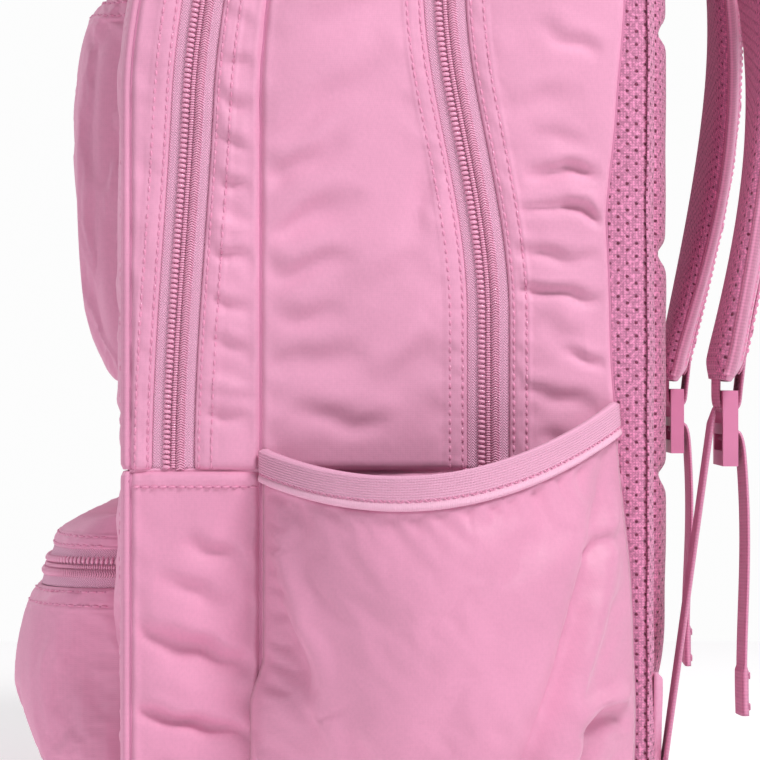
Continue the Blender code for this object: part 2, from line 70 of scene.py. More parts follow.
HALF_WIDTH = high("back_panel").x
TOP_Z = high("back_panel").z
BACK_Y = low("back_panel").y
FACE_Y = high("back_panel").y
SPLIT_Z = (high("base_gusset").z + low("rear_gusset").z) / 2
FRONT_DEPTH = BACK_Y - high("lower_front_panel").y
PANEL = high("lower_front_panel").y - low("lower_front_panel").y
SEAM_DEPTH = BACK_Y - (low("base_gusset").y + high("lower_gusset").y) / 2

# ---- the outline's own shape, as in the CAD ----
TOP_RADIUS = 0.220
SHOULDER_RADIUS = 0.090
BASE_RADIUS = 0.042
TOP_TAPER = 0.16
TAPER_Z = (0.25, 0.395)
ZIP_HALF = 0.0068
GAP = 0.0003
POCKET_REACH = 0.048
POCKET_WIDTH = 112  # from the gusset seam to the back seam, in millimetres
ZIGZAG_ROW, LIP_FROM = 7.8, 8.3  # on the pocket's elastic, below its rim, in millimetres
POCKET_FLOOR_Z = low("side_pocket_right").z
BINDING = 0.011
ARC_CENTRE_Z = TOP_Z - TOP_RADIUS
SHOULDER_X = HALF_WIDTH - SHOULDER_RADIUS
SHOULDER_ANGLE = math.acos(SHOULDER_X / (TOP_RADIUS - SHOULDER_RADIUS))
SHOULDER_Z = ARC_CENTRE_Z + (TOP_RADIUS - SHOULDER_RADIUS) * math.sin(SHOULDER_ANGLE)
SIDES = (("right", 1), ("left", -1))

# ---- sewing, in millimetres ----
CLOTH = 1.2
EDGE_ROWS = (1.4, 5.5)  # two stitch rows beside each zip, from the folded edge
CROSS_ROW = 5.8  # the stitch row under the cross seam
PANEL_ROW = 5.5  # the stitch row inside a front panel's edge
STITCH = 2.9
COIL_PITCH = 1.61
BACK_SEAM = (
    (0.0, 0.05, 0.082, 0.098, 0.121, 0.137, 0.16, 0.188, 0.213, 0.228, 0.244, 0.262, 0.28, 0.45),
    tuple(d * MM for d in (8.0, 8.4, 7.9, 6.7, 4.7, 2.8, 1.3, 0.0, -0.6, 0.4, 2.2, 3.8, 4.8, 4.6)),
)


# ---- arithmetic ----
def smooth(t):
    t = np.clip(t, 0.0, 1.0)
    return t * t * (3 - 2 * t)


def bell(distance, width):
    return np.exp(-((distance / width) ** 2))


def ripple(u, v, wavelength, seed):
    """Soft, aperiodic undulation from -1 to 1."""
    rng = np.random.default_rng(seed)
    total = 0.0
    for _ in range(6):
        angle, phase = rng.uniform(0, math.pi), rng.uniform(0, 2 * math.pi)
        k = 2 * math.pi / (wavelength * rng.uniform(0.6, 1.7))
        total = total + np.sin(k * (u * math.cos(angle) + v * math.sin(angle)) + phase)
    return total / 3.2


def fold(u, v, start, end, height, width, lean):
    """A crease from one point to another; lean adds the opposite slope beside it."""
    du, dv = end[0] - start[0], end[1] - start[1]
    length = math.hypot(du, dv)
    t = ((u - start[0]) * du + (v - start[1]) * dv) / length**2
    across = ((u - start[0]) * dv - (v - start[1]) * du) / length
    window = np.sin(math.pi * np.clip(t, 0, 1)) ** 0.7
    shape = bell(across, width) - lean * bell(across - 1.7 * width, 1.2 * width)
    return height * shape * window


def folds(u, v, lean, rows, scale=1.0):
    """A sum of creases; a row is u and v of both ends, a height and a width."""
    return scale * sum(fold(u, v, row[:2], row[2:4], *row[4:6], lean) for row in rows)


def wandered(u, v, amount=1.5):
    """Coordinates bent a little, so that no crease runs quite straight."""
    return u + amount * ripple(u, v, 23, 90), v + amount * ripple(u, v, 17, 91)


def y_at(depth, z):
    taper = TOP_TAPER * smooth((z - TAPER_Z[0]) / (TAPER_Z[1] - TAPER_Z[0]))
    return BACK_Y - depth * (1 - taper)


def main_zip_y(z):
    return y_at(0.039 + 0.016 * smooth((z - 0.18) / 0.12), z)


def second_zip_y(z):
    return y_at(0.140 - 0.007 * smooth((z - SPLIT_Z) / 0.15), z)


def seam_y(z):
    return y_at(SEAM_DEPTH, z)


def back_seam_y(z):
    """The seam to the mesh back, which wanders: the cloth laps further over it low and high."""
    return BACK_Y + np.interp(z, *BACK_SEAM) + 0.0002 * np.sin(z / 0.0071)


def front_y(z):
    return y_at(FRONT_DEPTH, z)


def span(count):
    """Values from -1 to 1 that lie closer together toward both ends."""
    return np.sin(np.linspace(-1, 1, count) * math.pi / 2)


def unit(vectors):
    return vectors / np.linalg.norm(vectors, axis=-1, keepdims=True)


def tangents(points):
    return unit(np.gradient(points, axis=0))


def upright(path, across):
    """Unit normals of a path, square to a direction that runs across it."""
    return unit(np.cross(np.gradient(path, axis=0), across))


def lengths(points):
    """The distance along a polyline at each of its points."""
    return np.concatenate([[0], np.cumsum(np.linalg.norm(np.diff(points, axis=0), axis=1))])


def joined(*parts):
    """Coordinates, broadcast together, as the last axis of one array."""
    return np.stack(np.broadcast_arrays(*parts), -1)


def normals_of(grid):
    along, across = np.gradient(grid, axis=0), np.gradient(grid, axis=1)
    n = np.cross(along, across)
    return n / np.maximum(np.linalg.norm(n, axis=-1, keepdims=True), 1e-12)


def eased(grid):
    """A grid averaged with its neighbours, to take sharp turns out of its normals."""
    for _ in range(6):
        grid[1:-1] = (grid[:-2] + 2 * grid[1:-1] + grid[2:]) / 4
        grid[:, 1:-1] = (grid[:, :-2] + 2 * grid[:, 1:-1] + grid[:, 2:]) / 4
    return grid / np.maximum(np.linalg.norm(grid, axis=-1, keepdims=True), 1e-9)


# ---- mesh makers ----
def linked(name, data):
    """A new object in the scene."""
    piece = bpy.data.objects.new(name, data)
    bpy.context.scene.collection.objects.link(piece)
    return piece


def new_mesh(name, verts, faces, materials, uvs):
    mesh = bpy.data.meshes.new(name)
    mesh.from_pydata(verts.tolist(), [], faces)
    for material in materials:
        mesh.materials.append(material)
    if uvs is not None:
        layer = mesh.uv_layers.new(name="cloth")
        index = np.empty(len(mesh.loops), np.int32)
        mesh.loops.foreach_get("vertex_index", index)
        layer.data.foreach_set("uv", np.asarray(uvs, np.float32)[index].ravel())
    mesh.shade_smooth()
    return mesh


def mesh_piece(name, verts, faces, materials, uvs=None, slots=None):
    """A piece made of quads, with its faces turned outward."""
    mesh = new_mesh(name, verts, faces.tolist(), materials, uvs)
    if slots is not None:
        mesh.polygons.foreach_set("material_index", np.asarray(slots, np.int32))
    mesh.validate()
    bm = bmesh.new()
    bm.from_mesh(mesh)
    bmesh.ops.recalc_face_normals(bm, faces=bm.faces)
    bm.to_mesh(mesh)
    bm.free()
    return linked(name, mesh)


def grid_faces(index):
    a, b, c, d = index[:-1, :-1], index[1:, :-1], index[1:, 1:], index[:-1, 1:]
    return np.stack([a, b, c, d], -1).reshape(-1, 4)


def sheet_piece(name, outer, inner, materials, uv):
    """Cloth between two grids of points; a second material is its inner side."""
    rows, columns = outer.shape[:2]
    index = np.arange(rows * columns).reshape(rows, columns)
    top = grid_faces(index)
    rim = np.concatenate([index[:, 0], index[-1, 1:], index[-2::-1, -1], index[0, -2:0:-1]])
    ahead = np.roll(rim, -1)
    count = rows * columns
    edge = np.stack([ahead, rim, rim + count, ahead + count], -1)
    faces = np.concatenate([top, top[:, ::-1] + count, edge])
    slots = np.zeros(len(faces), np.int32)
    if len(materials) > 1:
        slots[len(top) : 2 * len(top)] = 1
    verts = np.concatenate([outer.reshape(-1, 3), inner.reshape(-1, 3)])
    uvs = np.concatenate([uv.reshape(-1, 2)] * 2)
    return mesh_piece(name, verts, faces, materials, uvs, slots)


def tube_mesh(rings):
    """Vertices and faces through rings (n, k, 3), with capped ends."""
    n, k = rings.shape[:2]
    index = np.arange(n * k).reshape(n, k)
    around = np.concatenate([index, index[:, :1]], axis=1)
    faces = grid_faces(around).tolist()
    return rings.reshape(-1, 3), faces + [index[0, ::-1].tolist(), index[-1].tolist()]


def many(verts, faces, count):
    """Faces of count copies of one small mesh whose vertices are stacked in order."""
    faces = np.asarray(faces)
    step = np.arange(count)[:, None, None] * verts
    return (faces[None] + step).reshape(-1, faces.shape[1])


def capsule_rings(path, radii, side, up):
    """Rings round points on a path in (along, across, up), for one repeated small part."""
    angles = np.arange(6) * 2 * math.pi / 6
    rings = []
    for point, radius in zip(path, radii):
        circle = np.cos(angles)[:, None] * np.array(side) + np.sin(angles)[:, None] * np.array(up)
        rings.append(np.array(point) + circle * radius)
    return np.array(rings)


def copies(template, frames):
    """Vertices and faces of copies of a template (rings in millimetres) at frames."""
    verts, faces = tube_mesh(template)
    faces = [f for f in faces if len(f) == 4]
    P, T, S, N = frames
    placed = (
        P[:, None]
        + (verts[None, :, 0:1] * T[:, None] + verts[None, :, 1:2] * S[:, None]) * MM
        + verts[None, :, 2:3] * N[:, None] * MM
    )
    return placed.reshape(-1, 3), many(len(verts), faces, len(P))


def sewn(name, outer, inner, materials, uv, body, slot, *nodes):
    """A sheet of cloth, settled on its body."""
    return settle(sheet_piece(name, outer, inner, materials, uv), body, slot, *nodes)


def repeat_along(name, template, frames, material):
    return mesh_piece(name, *copies(template, frames), [material])


def resample(points, spacing, offset):
    """Fractional indices along a polyline, at an even spacing in metres."""
    along = lengths(points)
    marks = np.arange(spacing * (0.5 + offset), along[-1] - spacing * 0.4, spacing)
    return np.interp(marks, along, np.arange(len(points)))


def at(array, where):
    """An array's rows at fractional indices."""
    low_i = np.clip(np.floor(where).astype(int), 0, len(array) - 2)
    share = (where - low_i)[:, None]
    return array[low_i] * (1 - share) + array[low_i + 1] * share


def frames_on(points, normals, spacing, offset=0.0):
    """Evenly spaced places on a line over a surface: point, tangent, side and normal."""
    where = resample(points, spacing, offset)
    P, N = at(points, where), at(normals, where)
    T = unit(at(np.gradient(points, axis=0), where))
    N = unit(N - T * np.sum(N * T, axis=1, keepdims=True))
    return P, T, np.cross(N, T), N


def stitches(name, points, normals, body, length=STITCH, slot="webbing"):
    """A row of thread stitches whose ends dive into dimples, whose shade is painted as dark discs;
    normals may be one for all.
    """
    half = 0.39 * length
    path = [(-half, 0, -0.28), (-half * 0.6, 0, 0.10), (0, 0, 0.20), (half * 0.6, 0, 0.10)]
    path += [(half, 0, -0.28)]
    thread = capsule_rings(path, (0.20, 0.34, 0.37, 0.34, 0.20), (0, 1, 0), (0, 0, 1))
    # flat dark discs between the stitches: painted shade for the dimples where the thread dives in
    shaded_hole = [(-0.42, 0, -0.02), (-0.22, 0, 0.0), (0.22, 0, 0.0), (0.42, 0, -0.02)]
    shaded_hole = capsule_rings(shaded_hole, (0.04, 0.36, 0.36, 0.04), (0, 1, 0), (0, 0, 0.16))
    normals = np.broadcast_to(normals, points.shape)
    verts, faces = copies(thread, frames_on(points, normals, length * MM))
    more, dark = copies(shaded_hole, frames_on(points, normals, length * MM, 0.5))
    slots = np.repeat([0, 1], [len(faces), len(dark)])
    faces, verts = np.concatenate([faces, dark + len(verts)]), np.concatenate([verts, more])
    settle(mesh_piece(name, verts, faces, [THREAD, DIMPLE_SHADE], slots=slots), body, slot)


# cloth sewn between two bodies: the two bodies, and where its bend starts and stops; settle reads
# only the names and sets up no bend
FOLD, MIDDLE_BEND, FRONT_BEND = (0, 0, SPLIT_Z), (0, 0, SPLIT_Z + 0.075), (0, 0, SPLIT_Z + 0.015)
ROOT_BEND = ((0, 0, 0.402), (0, 0, 0.372))
BLENDS = {
    "middle_gusset": ("bag", "middle_leaf", FOLD, MIDDLE_BEND),
    "front_gusset": ("middle_leaf", "front_leaf", FOLD, FRONT_BEND),
    "strap_root_right": ("bag", "strap_right", *ROOT_BEND),
    "strap_root_left": ("bag", "strap_left", *ROOT_BEND),
}


def settle(piece, body, slot, *nodes):
    """Puts a finished piece on its CAD body, in place of CAD nodes; its slot is not used."""
    if body in BLENDS:
        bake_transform(piece)
    else:
        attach(piece, body)
    if nodes:
        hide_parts(*nodes)
    return piece


CLOTH_SETTINGS = {
    "quality": 5,
    "mass": 0.2,
    "tension_stiffness": 20,
    "compression_stiffness": 20,
    "shear_stiffness": 8,
    "bending_stiffness": 0.25,
    "air_damping": 3,
    "use_pressure": True,
    "uniform_pressure_force": 0.1,
}
CLOTH_FRAMES = 20


def relax(grid, slack, limit):
    """Lets a grid of cloth, cut a little too large, buckle between its sewn edges."""
    index = np.arange(grid.shape[0] * grid.shape[1]).reshape(grid.shape[:2])
    faces = grid_faces(index).tolist()
    sample = linked("sample", new_mesh("sample", grid.reshape(-1, 3), faces, [], None))
    edges = (index[:2], index[-2:], index[:, :2], index[:, -2:])
    held = sample.vertex_groups.new(name="sewn")
    held.add(np.unique(np.concatenate([e.ravel() for e in edges])).tolist(), 1.0, "REPLACE")
    cloth = sample.modifiers.new("cloth", "CLOTH")
    for setting, value in CLOTH_SETTINGS.items():
        setattr(cloth.settings, setting, value)
    cloth.settings.shrink_min = -slack
    cloth.settings.effector_weights.gravity = 0
    cloth.settings.vertex_group_mass = "sewn"
    cloth.collision_settings.use_collision = False
    cloth.point_cache.frame_start = 1
    cloth.point_cache.frame_end = CLOTH_FRAMES
    for number in range(1, CLOTH_FRAMES + 1):
        bpy.context.scene.frame_set(number)
    shown = sample.evaluated_get(bpy.context.evaluated_depsgraph_get())
    flat = np.empty(grid.size)
    shown.data.vertices.foreach_get("co", flat)
    bpy.data.objects.remove(sample)
    bpy.context.scene.frame_set(1)
    move = flat.reshape(grid.shape) - grid
    size = np.linalg.norm(move, axis=-1, keepdims=True)
    return grid + move * np.minimum(1, limit * MM / np.maximum(size, 1e-9))


# ---- materials ----
def new_material(name, colour, roughness, metallic=0.0, sheen=0.0, coat=0.0):
    material = bpy.data.materials.new(name)
    material.use_nodes = True
    for socket, value in (
        ("Base Color", (*colour, 1)),
        ("Roughness", roughness),
        ("Metallic", metallic),
        ("Sheen Weight", sheen),
        ("Sheen Roughness", 0.45),
        ("Sheen Tint", (1.0, 0.86, 0.93, 1)),
        ("Coat Weight", coat),
    ):
        material.node_tree.nodes["Principled BSDF"].inputs[socket].default_value = value
    return material


class Nodes:
    """Short forms for wiring the nodes of a material or the world."""

    def __init__(self, owner):
        self.owner, self.tree = owner, owner.node_tree

    def put(self, socket, value):
        if isinstance(value, bpy.types.NodeSocket):
            self.tree.links.new(value, socket)
        else:
            socket.default_value = value

    def node(self, kind, **sockets):
        """A new node with values or links on its named inputs."""
        node = self.tree.nodes.new("ShaderNode" + kind)
        for name, value in sockets.items():
            self.put(node.inputs[name.replace("_", " ")], value)
        return node

    def math(self, operation, a, b=0.0):
        node = self.node("Math")
        node.operation = operation
        self.put(node.inputs[0], a)
        self.put(node.inputs[1], b)
        return node.outputs[0]

    def add(self, a, b):
        return self.math("ADD", a, b)

    def less(self, a, b):
        return self.math("SUBTRACT", a, b)

    def times(self, a, b):
        return self.math("MULTIPLY", a, b)

    def weighted(self, a, share_a, b, share_b):
        return self.add(self.times(a, share_a), self.times(b, share_b))

    def coordinate(self, kind):
        return self.node("TexCoord").outputs[kind]

    def split(self, vector):
        return self.node("SeparateXYZ", Vector=vector).outputs

    def noise(self, vector, scale, detail):
        return self.node("TexNoise", Vector=vector, Scale=scale, Detail=detail).outputs["Fac"]

    def wave(self, value, pitch):
        """A sine of a length in metres, from 0 to 1."""
        sine = self.math("SINE", self.times(value, 2 * math.pi / pitch))
        return self.add(self.times(sine, 0.5), 0.5)

    def ramp(self, value, *stops):
        node = self.node("ValToRGB", Fac=value)
        elements = node.color_ramp.elements
        while len(elements) < len(stops):
            elements.new(0.5)
        for element, (place, colour) in zip(elements, stops):
            element.position = place
            element.color = (*colour, 1)
        return node.outputs[0]

    def bump(self, height, strength, distance, normal=None):
        node = self.node("Bump", Height=height, Strength=strength, Distance=distance)
        if normal:
            self.put(node.inputs["Normal"], normal)
        return node.outputs[0]

    def finish(self, colour, roughness, normal):
        """The material, with what is given wired to its shader."""
        inputs = self.tree.nodes["Principled BSDF"].inputs
        for name, value in (("Base Color", colour), ("Roughness", roughness), ("Normal", normal)):
            if value:
                self.put(inputs[name], value)
        return self.owner


def shade(colour, share):
    return tuple(c * share for c in colour)


def shell_material(name, colour, sheen=0.25, roughness=0.62, crinkle=0.5):
    """Fine plain-weave cloth with a soft sheen and small, uneven crinkles."""
    n = Nodes(new_material(name, colour, roughness, sheen=sheen))
    uv, place = n.coordinate("UV"), n.coordinate("Object")
    u, v, _ = n.split(uv)
    yarn = n.math("MAXIMUM", n.wave(u, 0.00062), n.wave(v, 0.00054))
    slub, tone = n.noise(uv, 900, 2), n.noise(place, 26, 3)
    mixed = n.weighted(tone, 0.55, n.weighted(yarn, 0.14, slub, 0.62), 0.45)
    pale = tuple(min(1.0, c * 1.06 + 0.01) for c in colour)
    tint = n.ramp(mixed, (0.30, shade(colour, 0.90)), (0.52, colour), (0.72, pale))
    rough = n.add(n.times(tone, 0.16), roughness - 0.08)
    fine = n.bump(n.add(yarn, n.times(slub, 0.8)), 0.10, 0.00018)
    return n.finish(tint, rough, n.bump(n.noise(place, 85, 3), crinkle, 0.0007, fine))


HOLE_PITCH = (2.9, 4.25)  # the mesh's holes, across and along, in millimetres


def mesh_material(name, colour, along=1):
    """Spacer mesh: a knitted face with rows of staggered holes, darkened inside by painted shade;
    along is its long axis.
    """
    n = Nodes(new_material(name, colour, 0.85, sheen=0.2))
    uv = n.coordinate("UV")
    u, v = [n.split(uv)[i] for i in (1 - along, along)]
    wide, tall = HOLE_PITCH
    column = n.times(u, 1 / (wide * MM))
    row = n.add(n.times(v, 1 / (tall * MM)), n.times(n.math("FLOOR", column), 0.5))
    du = n.times(n.less(n.math("FRACT", column), 0.5), wide)
    dv = n.times(n.less(n.math("FRACT", row), 0.5), tall)
    away = n.math("SQRT", n.add(n.times(du, du), n.times(dv, dv)))
    shaded_hole = n.less(away, n.add(n.times(n.noise(uv, 700, 1), 0.5), 0.05))
    loops = n.times(n.wave(v, 0.00085), n.wave(u, 0.00097))
    grain = n.weighted(n.noise(uv, 850, 4), 0.90, loops, 0.14)
    cloth = n.ramp(grain, (0.40, shade(colour, 0.70)), (0.52, colour), (0.64, shade(colour, 1.38)))
    mix = n.node("Mix")
    mix.data_type = "RGBA"
    mix.blend_type = "MULTIPLY"
    mix.inputs["Factor"].default_value = 1.0
    n.put(mix.inputs["A"], cloth)
    # painted shade: each hole and its rim darkened
    n.put(mix.inputs["B"], n.ramp(shaded_hole, (0.02, shade(colour, 0.42)), (0.26, (1, 1, 1))))
    depth = n.ramp(shaded_hole, (0.02, (0, 0, 0)), (0.42, (1, 1, 1)))
    relief = n.bump(n.weighted(depth, 1.0, grain, 0.35), 0.8, 0.0008)
    return n.finish(mix.outputs["Result"], None, relief)


def tape_material(name, colour):
    """Zip tape in a fine herringbone twill."""
    n = Nodes(new_material(name, colour, 0.8, sheen=0.15))
    u, v, _ = n.split(n.coordinate("UV"))
    zigzag = n.math("ABSOLUTE", n.less(n.math("FRACT", n.times(v, 500)), 0.5))
    twill = n.wave(n.add(u, n.times(zigzag, 0.0024)), 0.00088)
    tint = n.ramp(twill, (0.1, shade(colour, 0.84)), (0.8, shade(colour, 1.10)))
    return n.finish(tint, None, n.bump(twill, 0.8, 0.0003))


def ribbed_material(name, colour, pitch, cross, dark):
    """Elastic or webbing: ribs along its length, crossed by finer yarns."""
    n = Nodes(new_material(name, colour, 0.75, sheen=0.2))
    u, v, _ = n.split(n.coordinate("UV"))
    weave = n.weighted(n.wave(v, pitch), 0.65, n.wave(u, cross), 0.35)
    tone = n.weighted(weave, 0.7, n.noise(n.coordinate("UV"), 1300, 2), 0.3)
    tint = n.ramp(tone, (0.15, shade(colour, dark)), (0.75, shade(colour, 1.06)))
    return n.finish(tint, None, n.bump(weave, 0.6, 0.0003))


def moulded_material(name, colour, roughness, metallic=0.0, grain=600.0):
    """Moulded plastic or painted metal, with a fine texture and convex edges made paler by a
    painted highlight.
    """
    n = Nodes(new_material(name, colour, roughness, metallic, coat=0.15))
    place = n.coordinate("Object")
    speck, cloud = n.noise(place, grain, 3), n.noise(place, 60, 3)
    # painted highlight along convex edges: pointiness above flat makes the tone paler
    edge_highlight = n.times(n.less(n.node("NewGeometry").outputs["Pointiness"], 0.5), 2.0)
    tone = n.add(n.times(cloud, 0.8), n.math("MAXIMUM", edge_highlight, 0.0))
    tint = n.ramp(tone, (0.25, shade(colour, 0.9)), (0.6, shade(colour, 1.06)))
    rough = n.add(n.times(cloud, 0.18), roughness - 0.09)
    return n.finish(tint, rough, n.bump(speck, 0.12, 0.00012))


SIDE_CLOTH = shell_material("side_cloth", (0.790, 0.345, 0.522), sheen=0.18)
POCKET_CLOTH = shell_material("pocket_cloth", (0.755, 0.312, 0.482), sheen=0.25, roughness=0.52)
FRONT_CLOTH = shell_material("front_cloth", (0.770, 0.320, 0.495), sheen=0.18)
# a darker, deeper pink than the side cloth, for the seam cords only: painted shade along the seams
SEAM_SHADE_CLOTH = shell_material("seam_shade_cloth", (0.640, 0.225, 0.390))
LINING = shell_material("lining", (0.42, 0.36, 0.40), sheen=0.1, crinkle=0.7)
MESH_PINK = (0.665, 0.232, 0.405)
MESH = mesh_material("air_mesh", MESH_PINK)
MESH_BAND = mesh_material("air_mesh_band", MESH_PINK, along=0)
TAPE = tape_material("zip_tape", (0.860, 0.435, 0.625))
ELASTIC = ribbed_material("elastic", (0.790, 0.390, 0.560), 0.00080, 0.0006, 0.86)
LIP = ribbed_material("elastic_lip", (0.840, 0.460, 0.620), 0.0030, 0.0007, 0.9)
WEBBING = ribbed_material("webbing", (0.700, 0.270, 0.430), 0.0016, 0.0011, 0.72)
COIL = moulded_material("zip_coil", (0.800, 0.360, 0.530), 0.50)
THREAD = moulded_material("thread", (0.740, 0.290, 0.460), 0.60, grain=2500)
# a darker pink for those discs: painted shade in the stitch dimples
DIMPLE_SHADE = moulded_material("dimple_shade", (0.560, 0.190, 0.330), 0.85, grain=2500)
PLASTIC = moulded_material("plastic", (0.640, 0.210, 0.370), 0.36)
METAL = moulded_material("slider_paint", (0.760, 0.330, 0.480), 0.32, 0.35)
BOARD = moulded_material("board", (0.16, 0.16, 0.17), 0.6)


# ---- the outline and the gussets along it ----
ARC_SPACING, LINE_SPACING = 0.0012, 0.0016  # between the outline's points


def arc(centre, radius, start, end):
    a = np.linspace(start, end, max(3, int(abs(end - start) * radius / ARC_SPACING)))
    c, s = np.cos(a), np.sin(a)
    return joined(centre[0] + radius * c, centre[1] + radius * s, c, s)


def line(x, z0, z1):
    z = np.linspace(z0, z1, max(2, int(abs(z1 - z0) / LINE_SPACING)))
    return joined(x, z, 1.0, 0.0)


def half_outline(part):
    upper = [
        line(HALF_WIDTH, SPLIT_Z + GAP, SHOULDER_Z),
        arc((SHOULDER_X, SHOULDER_Z), SHOULDER_RADIUS, 0, SHOULDER_ANGLE)[1:],
        arc((0, ARC_CENTRE_Z), TOP_RADIUS, SHOULDER_ANGLE, math.pi / 2)[1:],
    ]
    floor_x = np.linspace(0, HALF_WIDTH - BASE_RADIUS, 60)
    flat = joined(floor_x, 0.0, 0.0, -1.0)
    corner = (HALF_WIDTH - BASE_RADIUS, BASE_RADIUS)
    base = [flat, arc(corner, BASE_RADIUS, -math.pi / 2, 0)[1:]]
    base += [line(HALF_WIDTH, BASE_RADIUS, SPLIT_Z - GAP)[1:]]
    return np.concatenate({"upper": upper, "lower": base, "whole": base + upper}[part])


def outline(part):
    """x, z, outward normal x and z, anticlockwise from the front; whole is a closed loop."""
    half = half_outline(part)
    other = half[::-1] * np.array([-1, 1, -1, 1])
    if part == "upper":
        return np.concatenate([half, other[1:]])
    if part == "lower":
        return np.concatenate([other, half[1:]])
    return np.concatenate([half, other[1:-1]])


def columns(width):
    """Distances across a gusset in millimetres, closer together near its sewn edges."""
    fine = min(8.5, width / 2)
    edge = np.concatenate([[0, 0.12, 0.3, 0.55, 0.85], np.arange(1.2, fine, 0.5)])
    middle = np.arange(fine, width - fine, 1.5)
    return np.concatenate([edge, middle, width - edge[::-1]])


def zip_edge(d, s):
    """Relief of a folded, twice-stitched edge beside a zip."""
    rolled = -1.0 * (1 - np.sqrt(np.clip(1 - (1 - d / 1.3) ** 2, 0, 1)))
    relief = np.where(d < 1.3, rolled, 0.0) + 0.55 * (1 - smooth((d - 6.0) / 1.6))
    pull = 0.8 + 0.3 * np.cos(2 * math.pi * s / STITCH)
    for row in EDGE_ROWS:
        relief = relief - 0.46 * pull * bell(d - row, 0.55)
    pucker, drag = ripple(s, d * 0.4, 5.0, 5), ripple(s, d * 0.15, 13.0, 6)
    relief = relief + 0.34 * pucker * bell(d - 3.5, 1.5) + 0.20 * pucker * bell(d - 7.4, 1.6)
    return relief + 0.55 * drag * bell(d - 10.0, 4.0)


def seam_edge(d, s):
    """Relief of two cloths sewn right sides together: they dive into the seam."""
    pucker = ripple(s, d * 0.2, 8.0, 8) * smooth(d / 2.5)
    return -0.80 * bell(d, 0.8) + 0.30 * bell(d - 1.9, 1.0) + 0.55 * pucker * bell(d - 4.0, 4.0)


def plain_edge(d, s):
    return -0.9 * bell(d, 0.8)


def soft_edge(d, s):
    return -1.6 * bell(d, 1.6)


def tucked_edge(d, s):
    return -0.7 + 0 * d


class Gusset:
    """A strip of cloth that runs along the outline, from a back edge to a front edge."""

    def __init__(self, part, back, front, back_edge, front_edge, puff, folds=None):
        self.path = outline(part)
        self.part, self.back, self.front = part, back, front
        self.back_edge, self.front_edge = back_edge, front_edge
        self.puff, self.folds = puff, folds
        self.along = lengths(self.path[:, :2])
        self.width = (back(self.path[:, 1]) - front(self.path[:, 1])).min() / MM

    def surface(self, share, depth=0.0):
        """Points (path, share, 3); share is 0 at the back edge and 1 at the front edge."""
        x, z, a, b = (self.path[:, i][:, None] for i in range(4))
        y0, y1 = self.back(z), self.front(z)
        wide = (y0 - y1) / MM
        y = y0 + (y1 - y0) * share
        s = (self.along / MM)[:, None]
        from_back, from_front = share * wide, (1 - share) * wide
        relief = self.back_edge(from_back, s) + self.front_edge(from_front, s)
        relief = relief + self.puff * np.sin(math.pi * np.clip(share, 0, 1)) ** 0.8
        inside = smooth(from_back / 7) * smooth(from_front / 7)
        hollow = (BACK_Y - y) / MM
        relief = relief + 0.35 * inside * ripple(hollow + 40 * np.sign(x), z / MM, 34, 3)
        if self.folds:
            relief = relief + inside**0.5 * self.folds(*wandered(hollow, z / MM), np.sign(x))
        if self.part != "whole":
            to_split = np.abs(z - SPLIT_Z) / MM
            relief = relief - 1.2 * bell(to_split, 1.0)
        if self.part == "lower":
            relief = relief - 0.6 * bell(to_split - 6.0, 0.7) + 0.6 * bell(to_split - 3.2, 2.0)
            relief = relief + 0.25 * ripple(hollow, z / MM, 6.0, 9) * bell(to_split - 5.0, 3.5)
            relief = relief * smooth(z / 0.02)
        off = relief * MM - depth
        return joined(x + a * off, y, z + b * off)

    def build(self, name, node, body, slot="shell_fabric", materials=None, stitched=None):
        """The strip's cloth, and two stitch rows along its stitched edge."""
        share = (columns(self.width) / self.width)[None, :]
        outer = self.surface(share)
        inner = self.surface(share, CLOTH * MM)
        z = self.path[:, 1][:, None]
        uv = joined(self.along[:, None], share * (self.back(z) - self.front(z)))
        materials = materials or [SIDE_CLOTH, LINING]
        sewn(name, outer, inner, materials, uv, body, slot, node)
        for number, distance in enumerate(EDGE_ROWS if stitched else ()):
            stitches(f"{name}_stitches_{number}", *self.line(stitched, distance), body)

    def line(self, edge, distance):
        """A line on the strip at a distance from an edge, and its normals."""
        z = self.path[:, 1][:, None]
        wide = (self.back(z) - self.front(z)) / MM
        share = distance / wide if edge == "back" else 1 - distance / wide
        a, b = self.path[:, 2], self.path[:, 3]
        return self.surface(share)[:, 0], joined(a, 0 * a, b)


# short creases that run into the back seam, and softer ones from the zip's stitching
REAR_FOLDS = (
    (30, 214.5, 9, 216.6, -2.0, 2.0), (16, 217.0, 0, 211.4, -3.6, 1.8),
    (27, 226.0, 3, 227.8, -2.4, 2.1), (15, 228.8, 2, 223.8, -1.4, 1.6),
    (34, 200.0, 14, 201.0, -1.6, 1.7), (24, 201.0, 2, 197.2, -1.4, 2.3),
    (33, 190.4, 1, 185.8, -2.7, 1.9), (28, 178.0, 8, 171.5, -1.1, 3.6),
    (16, 169.5, 0, 164.0, -1.8, 1.7), (30, 158.0, 4, 150.5, -1.6, 3.0),
    (26, 239.0, 8, 236.5, -1.0, 2.6), (30, 246.0, 9, 253.0, -1.2, 3.0),
    (24, 274.0, 2, 264.0, -1.6, 2.6), (22, 306.0, 2, 298.0, -1.5, 3.0),
    (24, 142.0, 2, 138.0, -1.3, 2.4), (22, 330.0, 3, 320.0, -1.3, 3.0),
)


